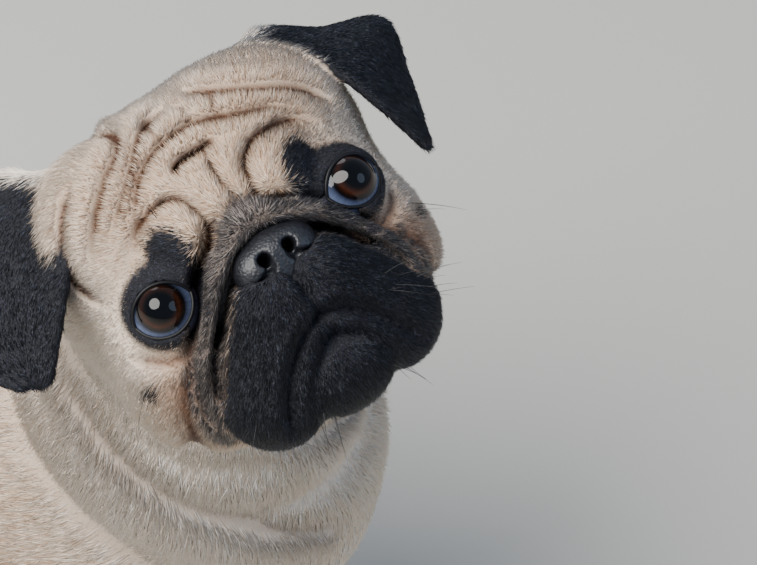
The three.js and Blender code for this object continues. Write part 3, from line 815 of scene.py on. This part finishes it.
def linear(colour):
    """An sRGB hex colour as linear red, green, blue and alpha."""
    parts = [int(colour[i : i + 2], 16) / 255 for i in (1, 3, 5)]
    return tuple(v / 12.92 if v <= 0.04045 else ((v + 0.055) / 1.055) ** 2.4 for v in parts) + (1.0,)


def put(tree, socket, value):
    """Links a socket to another node's output, or sets it to a plain value."""
    if isinstance(value, bpy.types.NodeSocket):
        tree.links.new(value, socket)
    else:
        socket.default_value = value


def add(tree, kind, settings=None, inputs=None):
    """Adds a shader node with its settings, and sets or links its inputs."""
    made = tree.nodes.new(kind)
    for name, value in (settings or {}).items():
        setattr(made, name, value)
    for name, value in (inputs or {}).items():
        put(tree, made.inputs[name], value)
    return made


def blend_colours(tree, factor, a, b, how="MIX"):
    made = add(tree, "ShaderNodeMix", {"data_type": "RGBA", "blend_type": how}, {0: factor, 6: a, 7: b})
    return made.outputs[2]


def scaled(tree, colour, by):
    """The colour times a number or another colour."""
    return blend_colours(tree, 1.0, colour, by, "MULTIPLY")


def number(tree, how, *values):
    """One step of arithmetic, held between 0 and 1."""
    made = add(tree, "ShaderNodeMath", {"operation": how, "use_clamp": True}, dict(enumerate(values)))
    return made.outputs[0]


def stored(tree, layer):
    """The four numbers that a layer holds for each vertex."""
    colour = add(tree, "ShaderNodeVertexColor", {"layer_name": layer})
    split = add(tree, "ShaderNodeSeparateColor", inputs={"Color": colour.outputs["Color"]})
    return [*split.outputs, colour.outputs["Alpha"]]


def new_material(name, roughness, specular=0.5):
    material = bpy.data.materials.new(name)
    material.use_nodes = True
    shader = material.node_tree.nodes["Principled BSDF"]
    shader.inputs["Roughness"].default_value = roughness
    shader.inputs["Specular IOR Level"].default_value = specular
    return material, material.node_tree, shader


FUR_COLOURS = {
    "light": "#ecd9c4",
    "dark": "#bb9371",
    "cream": "#f9f3ea",
    # painted shade of the creases and neck folds, and the colour of the trace down the back
    "fold": "#583826",
    "black": "#0f0f14",
    # painted bluish sheen, on black hairs picked at random
    "black_sheen": "#3c404e",
    "salt": "#9a9089",
    "pepper": "#2c2729",
    "rust": "#9b6d50",
}
FUR = {name: linear(colour) for name, colour in FUR_COLOURS.items()}


def fur_colour(tree, strand=None):
    """The coat's colour from its markings, and how far along its hair a point is.

    strand varies from hair to hair, from 0 to 1, and is read from the mesh where it isn't given.
    """
    black, cream, fold, _ = stored(tree, "marks")
    grey, rust, along, own_strand = stored(tree, "more")
    strand = strand or own_strand
    colour = blend_colours(tree, strand, FUR["dark"], FUR["light"])
    pale = blend_colours(tree, strand, FUR["light"], FUR["cream"])
    colour = blend_colours(tree, cream, colour, pale)
    # painted crease shade, and the dark trace down the back
    colour = blend_colours(tree, fold, colour, FUR["fold"])
    colour = blend_colours(tree, number(tree, "MULTIPLY", rust, 0.75), colour, FUR["rust"])
    salt = blend_colours(tree, number(tree, "POWER", strand, 2.0), FUR["pepper"], FUR["salt"])
    colour = blend_colours(tree, grey, colour, salt)
    # black hair, with a painted bluish sheen on some hairs at random
    night = blend_colours(tree, number(tree, "POWER", strand, 3.0), FUR["black"], FUR["black_sheen"])
    return blend_colours(tree, black, colour, night), along


def coat_material():
    """Short dog hair: soft satin strands, with painted shade that darkens them towards the roots, so they are
    paler at the tips.
    """
    material, tree, shader = new_material("short_coat", 0.58, 0.35)
    colour, along = fur_colour(tree)
    # painted shade towards the roots of each tuft
    shade = add(tree, "ShaderNodeMapRange", inputs={"Value": along, "To Min": 0.62, "To Max": 1.05})
    put(tree, shader.inputs["Base Color"], scaled(tree, colour, shade.outputs["Result"]))
    return material


HAIR = 0.5  # the spacing of the streaks, coarser than single hairs so that they show
# painted shade on the skin under the tufts
GROUND_SHADE = (0.72, 0.68, 0.64, 1.0)


def skin_material():
    """The coat seen between its tufts: the same markings, darkened by painted shade under the tufts, with the
    fine streaks of lying hair.
    """
    material, tree, shader = new_material("coat_ground", 0.8, 0.25)
    place = add(tree, "ShaderNodeTexCoord").outputs["Object"]
    noise = {"Vector": place, "Scale": 1 / (HAIR * MM), "Detail": 3.0, "Roughness": 0.6}
    streaks = add(tree, "ShaderNodeTexNoise", inputs=noise).outputs["Fac"]
    strand = add(tree, "ShaderNodeMapRange", inputs={"Value": streaks, "From Min": 0.3, "From Max": 0.7})
    colour, _ = fur_colour(tree, strand.outputs["Result"])
    put(tree, shader.inputs["Base Color"], scaled(tree, colour, GROUND_SHADE))
    bump = add(tree, "ShaderNodeBump", inputs={"Height": streaks, "Strength": 0.5, "Distance": 0.4 * MM})
    put(tree, shader.inputs["Normal"], bump.outputs["Normal"])
    return material


COBBLE = 0.9  # the width of one cobble of the nose leather


def nose_material():
    """Bare nose leather: near-black and cobbled, with a moist satin shine."""
    material, tree, shader = new_material("nose_leather", 0.48)
    place = add(tree, "ShaderNodeTexCoord").outputs["Object"]
    cells = {"Vector": place, "Scale": 1 / (COBBLE * MM), "Smoothness": 0.5}
    cobbles = add(tree, "ShaderNodeTexVoronoi", {"feature": "SMOOTH_F1"}, cells).outputs["Distance"]
    relief = {"Height": cobbles, "Strength": 0.6, "Distance": 0.3 * MM}
    bump = add(tree, "ShaderNodeBump", {"invert": True}, relief)
    # darker in the grooves between the cobbles: painted shade
    put(tree, shader.inputs["Base Color"], blend_colours(tree, cobbles, linear("#191b22"), linear("#0a0a0d")))
    put(tree, shader.inputs["Normal"], bump.outputs["Normal"])
    shader.inputs["Coat Weight"].default_value = 0.12
    shader.inputs["Coat Roughness"].default_value = 0.3
    return material


# The eyeball's colours from the middle of the pupil out, at shares of the eyeball's radius. The white is
# painted as the dark bluish grey it shows in the lids' shade, darkest at its edge.
EYE_COLOURS = [
    (0.0, "#010102"),
    (0.37, "#010102"),
    (0.42, "#130906"),
    (0.53, "#371b0f"),
    (0.6, "#180d09"),
    (0.655, "#0c0c12"),
    # the white, painted dark bluish grey with shade
    (0.71, "#363d52"),
    (0.82, "#5b6581"),
    (1.0, "#2a2530"),
]


def eye_material():
    """Wet eyeball: black pupil, dark brown iris with fine rays, painted light low down fading to painted
    shade at the top, and a white painted as the dark bluish grey it shows in shade.
    """
    material, tree, shader = new_material("eyeball", 0.06)
    radius, turn, painted_light, _ = stored(tree, "eye")
    ramp = add(tree, "ShaderNodeValToRGB", inputs={"Fac": radius})
    stops = ramp.color_ramp.elements
    for n, (position, colour) in enumerate(EYE_COLOURS):
        stop = stops[n] if n < 2 else stops.new(position)
        stop.position = position
        stop.color = linear(colour)
    noise = {"W": turn, "Scale": 60.0, "Detail": 3.0}
    rays = add(tree, "ShaderNodeTexNoise", {"noise_dimensions": "1D"}, noise)
    ray = add(tree, "ShaderNodeMapRange", inputs={"Value": rays.outputs["Fac"], "To Min": 0.6, "To Max": 1.4})
    colour = scaled(tree, ramp.outputs["Color"], ray.outputs["Result"])
    # painted light: brighter low in the eye, darker at its top
    lit = number(tree, "MULTIPLY_ADD", painted_light, 0.65, 0.35)
    put(tree, shader.inputs["Base Color"], scaled(tree, colour, lit))
    shader.inputs["IOR"].default_value = 1.376
    return material


def plain_material(name, colour, roughness, specular=0.5):
    material, _, shader = new_material(name, roughness, specular)
    shader.inputs["Base Color"].default_value = linear(colour)
    return material


def lid_material():
    """Bare lid rim: dark moist skin."""
    return plain_material("lid_rim", "#0b0a0d", 0.5, 0.25)


def claw_material():
    """Claw: dark horn with a dull shine."""
    return plain_material("claw_horn", "#1c1917", 0.38)


def whisker_material():
    """Whisker: stiff black hair with a slight gloss."""
    return plain_material("whisker", "#0d0c0e", 0.4)


def floor_material():
    """Painted studio floor: pale and matt."""
    return plain_material("studio_floor", "#b9b6ae", 0.9)


# Pieces


def attach(made, slot, *nodes):
    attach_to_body(made, "root")
    if nodes:
        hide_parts(*nodes)


def store(made, marks, along, strand):
    """Stores the markings at each vertex, for fur_colour to read."""
    ones = np.ones(len(along))
    paint(made, "marks", np.stack([marks["black"], marks["cream"], marks["fold"], ones], 1))
    paint(made, "more", np.stack([marks["grey"], marks["rust"], along, strand], 1))


SKIN_BOX = ([-112, -215, -6], [110, 172, 412])
SOLE = 0.2  # the skin's lowest height


def build_skin(step):
    points, quads = surface(dog, *SKIN_BOX, step)
    points[:, 2] = np.maximum(points[:, 2], SOLE)
    made = make_mesh("skin", points, quads, skin_material())
    marks = markings(points, groups(points))
    marks["black"] = crisp(marks["black"])
    middling = np.full(len(points), 0.5)
    store(made, marks, middling, middling)
    attach(made, "fawn_fur", *FLESH)


def band_quads(rows, sides):
    """Quads between rows of points, each a closed loop with so many sides."""
    start = np.arange(rows - 1)[:, None] * sides
    a = start + np.arange(sides)
    b = start + (np.arange(sides) + 1) % sides
    return np.stack([a, b, b + sides, a + sides], -1).reshape(-1, 4)


def tube(stops, radii, sides, helper=(0.31, 0.85, 0.43)):
    """Points and quads of a tube; helper is any way that the tube never takes."""
    stops = np.asarray(stops, float)
    ways = unit(np.gradient(stops, axis=0))
    right = unit(np.cross(ways, helper))
    up = np.cross(right, ways)
    angles = 2 * np.pi * np.arange(sides) / sides
    circle = right[:, None] * np.cos(angles)[None, :, None] + up[:, None] * np.sin(angles)[None, :, None]
    points = (stops[:, None] + circle * np.asarray(radii)[:, None, None]).reshape(-1, 3)
    return points, band_quads(len(stops), sides)


def combine(shapes):
    points, faces, count = [], [], 0
    for p, q in shapes:
        points.append(p)
        faces.append(np.asarray(q) + count)
        count += len(p)
    return np.vstack(points), np.vstack(faces)


IRIS = 7.2
CORNEA_RISE = 1.5


def revolve(profile, side, segments=56):
    """Points and quads of a profile of [radius, height] pairs turned round an eye's axis."""
    radius, height = np.array(profile, float).T
    angle = 2 * np.pi * np.arange(segments) / segments
    flat = [radius[:, None] * np.cos(angle), radius[:, None] * np.sin(angle)]
    local = np.stack([*flat, np.repeat(height[:, None], segments, 1)], -1).reshape(-1, 3)
    placed = from_head(local @ look_axes(side) + eye_centre(side))
    return placed, band_quads(len(profile), segments), local


def build_eye(side, name):
    """One closed surface: the ball behind, and the cornea's dome over the iris in front."""
    edge = math.asin(IRIS / EYEBALL)
    ball = [[EYEBALL * math.sin(a), EYEBALL * math.cos(a)] for a in np.linspace(math.pi - 0.01, edge, 30)]
    dome = []
    for t in np.linspace(0.96, 0, 16):
        r = max(IRIS * t, 0.01)
        dome.append([r, math.sqrt(EYEBALL**2 - r * r) + CORNEA_RISE * (1 - t * t)])
    points, quads, local = revolve(ball + dome, side)
    made = make_mesh(f"eyeball_{name}", points, quads, eye_material())
    radius = np.hypot(local[:, 0], local[:, 1])
    radial = np.where(local[:, 2] < 0, 1.0, radius / EYEBALL)
    turn = np.arctan2(local[:, 1], local[:, 0]) / (2 * np.pi) + 0.5
    # Painted light: bright over the lower part of the eye, fading to painted shade at its top.
    painted_light = np.clip(0.4 - local[:, 1] / IRIS, 0, 1)
    paint(made, "eye", np.stack([radial, turn, painted_light, turn * 0 + 1], 1))
    attach(made, "eye", f"eye_{name}")


LID_RIM = 0.6


def build_lid(side, name):
    angle = np.linspace(0, 2 * np.pi, 97)
    cosine, sine = np.cos(angle), np.abs(np.sin(angle))
    reach = np.sqrt(ALMOND_RADIUS**2 - (ALMOND_SHIFT * cosine) ** 2) - ALMOND_SHIFT * sine
    local = np.stack([reach * cosine, reach * np.sin(angle), angle * 0], 1)
    local[:, 2] = np.sqrt(EYEBALL**2 - reach**2)
    local *= (EYEBALL + 0.2) / EYEBALL
    stops = from_head(local @ eye_axes(side) + eye_centre(side))
    shape = tube(stops, np.full(len(stops), LID_RIM), 10, from_head(gaze(side)) - FACE_POINT)
    attach(make_mesh(f"lid_{name}", *shape, lid_material()), "black_fur")


# Each nostril is a round hole, a comma under it and a slit to the side: points and the radii at both ends.
NOSTRIL = [
    ([[4.6, -3, 26], [4.3, -4.6, 20], [5, -4, 13]], 2.3, 1.8),
    ([[4.6, -3, 25], [3.8, -5.8, 24], [5, -8.2, 22]], 1.9, 1.6),
    ([[5, -8.2, 24], [8.6, -9.4, 22], [12.6, -8.4, 18]], 1.6, 0.9),
]
NOSE_GROOVE = ([[0, 0, 25.8], [0, -6, 25.2], [0, -16, 23.5]], 0.5, 0.9)
NOSE_BOX = ([-17, -19, 5], [17, 8, 28])


def groove(q, path, start_radius, end_radius, side=1):
    return chain(q, smooth_path([[side * x, u, f] for x, u, f in path], 4), start_radius, end_radius)


def nose_form(q):
    value = nose_pad(q)
    for side in (1, -1):
        value = carve(value, np.minimum.reduce([groove(q, *cut, side) for cut in NOSTRIL]), 1.0)
    return carve(value, groove(q, *NOSE_GROOVE), 1.6)


def build_nose(step):
    points, quads = surface(nose_form, *NOSE_BOX, step)
    attach(make_mesh("nose_leather", from_head(points), quads, nose_material()), "nose_leather", "nose")


CLAW = [[0, -7, 3.2], [0, -12.5, 1.6], [0, -17.5, -4.5]]  # from the toe's middle out to the tip


def build_claws():
    shapes = []
    for side in (1, -1):
        for shape in (FORE, HIND):
            for toe in toe_middles(side, shape):
                path = smooth_path(toe + CLAW, 4)
                shapes.append(tube(path, np.linspace(2.1, 0.25, len(path)), 10))
    attach(make_mesh("claws", *combine(shapes), claw_material()), "nose_leather")


WHISKER_SPOTS = [
    # where on the face, how many, how long and which way, in the head's frame
    ((22, -30, 20), 6, 17, (0.75, -0.25, 0.55)),
    ((29, -38, 12), 6, 19, (0.9, -0.3, 0.3)),
    ((13, -52, 17), 4, 12, (0.3, -0.85, 0.4)),
    ((50, -19, -8), 2, 16, (0.8, -0.35, 0.4)),
    ((20, 24, 9), 2, 12, (0.3, 0.75, 0.6)),
]


def build_whiskers(rng):
    shapes = []
    for (x, u, f), count, length, way in WHISKER_SPOTS:
        for side in (1, -1):
            for _ in range(count):
                start = np.array([side * x, u, f]) + rng.normal(0, 2.2, 3)
                head = np.array([side * way[0], way[1], way[2]]) + rng.normal(0, 0.16, 3)
                head /= np.linalg.norm(head)
                reach = length * rng.uniform(0.6, 1.1)
                sag = np.array([0, -1, -0.3]) * reach * rng.uniform(0.05, 0.2)
                t = np.linspace(-0.12, 1, 9)[:, None]
                stops = from_head(start + head * reach * t + sag * t**2)
                shapes.append(tube(stops, np.linspace(0.16, 0.03, 9), 5))
    attach(make_mesh("whiskers", *combine(shapes), whisker_material()), "black_fur")


# Coat: each tuft is a thin spike with three sides, rooted in the skin and lying back along it.

COAT_KINDS = {
    # part: tufts for each square millimetre, length, width, lift in degrees
    "head": (3.9, 4.3, 0.35, 11),
    "neck": (1.75, 10.0, 0.5, 8.5),
    "trunk": (0.62, 9.0, 0.82, 7),
    "fore_left": (0.72, 5.5, 0.65, 7),
    "fore_right": (0.72, 5.5, 0.65, 7),
    "hind_left": (0.66, 6.5, 0.72, 7),
    "hind_right": (0.66, 6.5, 0.72, 7),
    "tail": (0.62, 12.0, 0.92, 16),
    "ear_left": (1.8, 4.2, 0.44, 9),
    "ear_right": (1.8, 4.2, 0.44, 9),
}
PIECE_TUFTS = 48000  # so that no coat piece reaches 200,000 triangles
TUFT_FACES = np.array([[0, 1, 3], [1, 2, 3], [2, 0, 3], [0, 2, 1]])
TUFT_PATCH = np.array([[-0.0013, -0.0013], [0.0013, -0.0013], [0.0, -0.0006], [0.0, 0.0015]])
FLOOR_GAP = 0.3  # no tuft comes nearer to the floor
BARE_SOLE = 1.5  # no tuft is rooted lower
ROOT_DEPTH = 0.35
SWING = 11  # how far tufts stray from the lie of the coat, in degrees
TILES = {name: (n % 4, n // 4) for n, name in enumerate(COAT_KINDS)}


def unwrapped(p, parts):
    """A place in the unit square for each root: one tile for each part, unrolled round its own axis."""
    names = list(COAT_KINDS)
    nearest = np.argmin(np.stack([parts[name] for name in names], 1), 1)
    uv = np.zeros((len(p), 2))
    q = to_head(p)
    for n, name in enumerate(names):
        own = nearest == n
        if name == "head":
            offset = q[own] - np.array([0, 0, -34])
            round_it = np.arctan2(offset[:, 1], offset[:, 2])
            along = np.arccos(np.clip(offset[:, 0] / np.linalg.norm(offset, axis=1), -1, 1)) / np.pi
        elif name.startswith("ear"):
            side = 1 if name == "ear_left" else -1
            sheet, normals, s, t, _ = EAR_SHEETS[side]
            found = nearest_on_ear(q[own], side)
            outer = dot(q[own] - sheet[found], normals[found]) > 0
            round_it = (t[found] * 0.5 + outer * 0.5) * 2 * np.pi - np.pi
            along = s[found]
        elif name == "neck":
            offset = p[own] - NECK_ROOT
            along = np.clip(offset @ NECK_WAY / 130 + 0.2, 0, 1)
            round_it = np.arctan2(offset[:, 0], -offset[:, 1])
        elif name == "trunk":
            along = np.clip((p[own, 1] + 165) / 320, 0, 1)
            round_it = np.arctan2(p[own, 0], 205 - p[own, 2])
        elif name == "tail":
            found = np.argmin(((p[own, None, :] - TAIL_STOPS[None]) ** 2).sum(2), 1)
            along = found / len(TAIL_STOPS)
            out = np.hypot(*(p[own, 1:] - TAIL_PIVOT).T) - 20
            round_it = np.arctan2(p[own, 0] - TAIL_STOPS[found, 0], out)
        else:
            shape, y = (FORE, -68) if name.startswith("fore") else (HIND, 98)
            x = (1 if name.endswith("left") else -1) * shape["x"]
            along = np.clip(p[own, 2] / 190, 0, 1)
            round_it = np.arctan2(p[own, 0] - x, p[own, 1] - y)
        column, row = TILES[name]
        uv[own, 0] = (column + 0.03 + 0.94 * (round_it / (2 * np.pi) + 0.5)) / 4
        uv[own, 1] = (row + 0.03 + 0.94 * along) / 3
    return uv


def vertex_vectors(mesh, name):
    values = np.empty(len(mesh.vertices) * 3, np.float32)
    mesh.vertices.foreach_get(name, values)
    return values.reshape(-1, 3)


def scatter(skin, rng, density_scale):
    """Random roots on the skin with their normals, thicker where the coat is finer."""
    mesh = skin.data
    points = vertex_vectors(mesh, "co") / MM + ORIGIN
    normals = vertex_vectors(mesh, "normal")
    quads = np.empty(len(mesh.loops), np.int32)
    mesh.loops.foreach_get("vertex_index", quads)
    quads = quads.reshape(-1, 4)
    triangles = np.vstack([quads[:, [0, 1, 2]], quads[:, [0, 2, 3]]])
    a, b, c = points[triangles[:, 0]], points[triangles[:, 1]], points[triangles[:, 2]]
    area = np.linalg.norm(np.cross(b - a, c - a), axis=1) / 2
    parts = groups(points.astype(float))
    share = shares(parts, 4.0)
    density = sum(share[name] * COAT_KINDS[name][0] for name in COAT_KINDS)
    wanted = area * density[triangles].mean(1) * density_scale
    total = int(wanted.sum())
    edges = np.cumsum(wanted)
    picked = np.searchsorted(edges, rng.random(total) * edges[-1])
    picked = np.minimum(picked, len(triangles) - 1)
    r, s = np.sqrt(rng.random(total)), rng.random(total)
    mix = np.stack([1 - r, r * (1 - s), r * s], 1)[:, :, None]
    roots = (points[triangles[picked]] * mix).sum(1)
    facing = unit((normals[triangles[picked]] * mix).sum(1))
    return roots, facing


def bare(q):
    """True where no hair grows: on the nose, inside the lids and under the eyeballs."""
    empty = nose_pad(q) < 0.3
    for side in (1, -1):
        empty |= opening(q, side) < 0.5
    return empty


def tuft_sizes(q, parts, share, marks, rng):
    """Each tuft's length, width and lift, shortest round the eyes and in the creases."""
    length, width, lift = (sum(share[n] * COAT_KINDS[n][k] for n in COAT_KINDS) for k in (1, 2, 3))
    on_face = np.clip((q[:, 2] + 30) / 40, 0, 1) * (parts["head"] < 4)
    length = length * (1 + 0.25 * (share["head"] > 0.6) * (1 - on_face)) * (1 - 0.25 * marks["black"])
    to_eye = np.minimum(*[np.linalg.norm(q - eye_centre(s), axis=1) for s in (1, -1)])
    length = length * np.clip((to_eye - 9) / 14, 0.35, 1)
    length *= (1 - 0.45 * np.clip(marks["fold"], 0, 1) * share["head"]) * rng.uniform(0.7, 1.25, len(q))
    width *= rng.uniform(0.7, 1.3, len(q))
    return length, width, lift


def tuft_corners(roots, facing, way, sizes, rng):
    """Each tuft's four corners: two beside the root, one above it, and the tip."""
    length, width, lift = sizes
    way = unit(way - (way * facing).sum(1, keepdims=True) * facing)
    aside = np.cross(facing, way)
    swing = np.radians(rng.normal(0, SWING, len(roots)))[:, None]
    way = way * np.cos(swing) + aside * np.sin(swing)
    aside = np.cross(facing, way)
    rise = np.radians(lift * rng.uniform(0.5, 1.6, len(roots)))[:, None]
    ahead = way * np.cos(rise) + facing * np.sin(rise)
    above = facing * np.cos(rise) - way * np.sin(rise)
    half = width[:, None] / 2
    base = roots - facing * ROOT_DEPTH
    tip = roots + ahead * length[:, None] - above * (length * 0.05)[:, None]
    tip[:, 2] = np.maximum(tip[:, 2], FLOOR_GAP)
    base[:, 2] = np.maximum(base[:, 2], FLOOR_GAP)
    return np.stack([base + aside * half, base - aside * half, base + above * half * 0.9, tip], 1)


def coat_piece(name, corners, uv, marks, strand, material):
    points = corners.reshape(-1, 3)
    triangles = (TUFT_FACES[None] + 4 * np.arange(len(corners))[:, None, None]).reshape(-1, 3)
    made = make_mesh(name, points, triangles, material)
    along = np.tile([0.0, 0.0, 0.0, 1.0], len(corners))
    store(made, {mark: np.repeat(value, 4) for mark, value in marks.items()}, along, np.repeat(strand, 4))
    layer = made.data.uv_layers.new(name="OFBake")
    placed = (uv[:, None] + TUFT_PATCH[None]).reshape(-1, 2)[triangles.ravel()]
    layer.data.foreach_set("uv", placed.astype(np.float32).ravel())
    attach(made, "fawn_fur")


def build_coat(density_scale, rng):
    roots, facing = scatter(bpy.data.objects["skin"], rng, density_scale)
    keep = ~(bare(to_head(roots)) & (np.linalg.norm(roots - FACE_POINT, axis=1) < FACE_REACH))
    keep &= roots[:, 2] > BARE_SOLE
    parts = {name: value[keep] for name, value in groups(roots).items()}
    roots, facing = roots[keep], facing[keep]
    share = shares(parts, 4.0)
    marks = markings(roots, parts)
    marks["black"] = crisp(marks["black"], rng.uniform(-0.3, 0.3, len(roots)))
    marks["grey"] = crisp(marks["grey"], rng.uniform(-0.25, 0.25, len(roots)))
    sizes = tuft_sizes(to_head(roots), parts, share, marks, rng)
    corners = tuft_corners(roots, facing, lie(roots, parts), sizes, rng)
    strand = rng.random(len(roots))
    uv = unwrapped(roots, parts)
    order = np.argsort(np.floor(uv[:, 0] * 4) + 4 * np.floor(uv[:, 1] * 3), kind="stable")
    material = coat_material()
    for n, own in enumerate(np.array_split(order, math.ceil(len(order) / PIECE_TUFTS))):
        own_marks = {name: value[own] for name, value in marks.items()}
        coat_piece(f"coat_{n:02d}", corners[own], uv[own], own_marks, strand[own], material)


# Stage

CAMERA_AZIMUTH = -55.0
CAMERA_HEIGHT = 42.0
CAMERA_DISTANCE = 750.0
SCALE = 3.3  # pixels for each millimetre at the face
PICTURE = (757, 565)
FACE_PIXEL = (257.0, 241.0)
SENSOR = 36.0


def build_camera():
    a, e = math.radians(CAMERA_AZIMUTH), math.radians(CAMERA_HEIGHT)
    back = np.array([math.sin(a) * math.cos(e), -math.cos(a) * math.cos(e), math.sin(e)])
    right = unit(np.cross([0, 0, 1], back)[None])[0]
    up = np.cross(back, right)
    place = FACE_POINT + back * CAMERA_DISTANCE
    across = (PICTURE[0] / 2 - FACE_PIXEL[0]) / SCALE
    down = (FACE_PIXEL[1] - PICTURE[1] / 2) / SCALE
    target = FACE_POINT + right * across + up * down
    data = bpy.data.cameras.new("camera")
    data.sensor_width = SENSOR
    data.lens = SENSOR * SCALE * CAMERA_DISTANCE / PICTURE[0]
    data.clip_start, data.clip_end = 0.01, 20
    made = add_object("camera", data)
    made.location = Vector((place - ORIGIN) * MM)
    made.rotation_euler = Vector((target - place)).to_track_quat("-Z", "Y").to_euler()
    bpy.context.scene.camera = made


def add_light(name, place, target, size, power, colour):
    data = bpy.data.lights.new(name, "AREA")
    data.shape = "DISK"
    data.size = size
    data.energy = power
    data.color = colour
    made = add_object(name, data)
    made.location = place
    made.rotation_euler = (Vector(target) - Vector(place)).to_track_quat("-Z", "Y").to_euler()


FLOOR_HALF = 4000.0
LIGHTS = [
    # name, place, target and size in metres, power in watts, colour
    ("key", (-1.2, 0.45, 1.9), (0, -0.1, 0.3), 1.9, 118, (1.0, 0.98, 0.95)),
    ("fill", (0.35, -2.0, 1.4), (0, -0.1, 0.25), 1.6, 13, (0.55, 0.72, 1.0)),
    ("rim", (0.9, 1.3, 1.3), (0, 0, 0.25), 1.0, 7, (0.9, 0.94, 1.0)),
]


def build_stage():
    points = np.array([[-1, -1, 0], [1, -1, 0], [1, 1, 0], [-1, 1, 0]]) * FLOOR_HALF
    floor = make_mesh("floor", points, [[0, 1, 2, 3]], floor_material(), smooth=False, shift=False)
    for light in LIGHTS:
        add_light(*light)
    world = bpy.data.worlds.new("studio_air")
    world.use_nodes = True
    shade = world.node_tree.nodes["Background"]
    shade.inputs["Color"].default_value = linear("#c3d3ea")
    shade.inputs["Strength"].default_value = 0.55
    bpy.context.scene.world = world


# Add-on


class PugSettings(bpy.types.PropertyGroup):
    skin_step: bpy.props.FloatProperty(
        name="Skin grid", description="Spacing of the skin's mesh in millimetres", default=1.5, min=0.8, max=6
    )
    nose_step: bpy.props.FloatProperty(
        name="Nose grid", description="Spacing of the nose's mesh in millimetres", default=0.6, min=0.3, max=2
    )
    coat_density: bpy.props.FloatProperty(
        name="Coat density", description="Share of the full number of tufts", default=1.0, min=0.02, max=2
    )


def settings():
    return bpy.context.scene.pug


class PUG_OT_skin(bpy.types.Operator):
    """Make the skin, one piece over the whole body"""

    bl_idname = "pug.skin"
    bl_label = "Skin"

    def execute(self, context):
        build_skin(settings().skin_step)
        return {"FINISHED"}


class PUG_OT_eyes(bpy.types.Operator):
    """Make both eyes and the rims of their lids"""

    bl_idname = "pug.eyes"
    bl_label = "Eyes"

    def execute(self, context):
        for side, name in SIDES:
            build_eye(side, name)
            build_lid(side, name)
        return {"FINISHED"}


class PUG_OT_nose(bpy.types.Operator):
    """Make the nose leather with its nostrils"""

    bl_idname = "pug.nose"
    bl_label = "Nose"

    def execute(self, context):
        build_nose(settings().nose_step)
        return {"FINISHED"}


class PUG_OT_claws(bpy.types.Operator):
    """Make the claws"""

    bl_idname = "pug.claws"
    bl_label = "Claws"

    def execute(self, context):
        build_claws()
        return {"FINISHED"}


class PUG_OT_coat(bpy.types.Operator):
    """Grow the coat's tufts and the whiskers on the skin"""

    bl_idname = "pug.coat"
    bl_label = "Coat"

    def execute(self, context):
        if "skin" not in bpy.data.objects:
            raise RuntimeError("make the skin first")
        rng = np.random.default_rng(SEED)
        build_coat(settings().coat_density, rng)
        build_whiskers(rng)
        return {"FINISHED"}


class PUG_OT_stage(bpy.types.Operator):
    """Set up the camera, lights and floor"""

    bl_idname = "pug.stage"
    bl_label = "Stage"

    def execute(self, context):
        build_camera()
        build_stage()
        return {"FINISHED"}


class PUG_PT_panel(bpy.types.Panel):
    """Settings and steps of the pug"""

    bl_label = "Pug"
    bl_idname = "PUG_PT_panel"
    bl_space_type = "VIEW_3D"
    bl_region_type = "UI"
    bl_category = "Pug"

    def draw(self, context):
        for name in ("skin_step", "nose_step", "coat_density"):
            self.layout.prop(context.scene.pug, name)
        for operator in OPERATORS:
            self.layout.operator(operator.bl_idname)


OPERATORS = (PUG_OT_skin, PUG_OT_eyes, PUG_OT_nose, PUG_OT_claws, PUG_OT_coat, PUG_OT_stage)
CLASSES = (PugSettings, *OPERATORS, PUG_PT_panel)


def register():
    for cls in CLASSES:
        bpy.utils.register_class(cls)
    bpy.types.Scene.pug = bpy.props.PointerProperty(type=PugSettings)


def unregister():
    del bpy.types.Scene.pug
    for cls in reversed(CLASSES):
        bpy.utils.unregister_class(cls)


def main():
    register()
    for step in ("skin", "eyes", "nose", "claws", "coat", "stage"):
        getattr(bpy.ops.pug, step)()


if __name__ == "__main__":
    main()
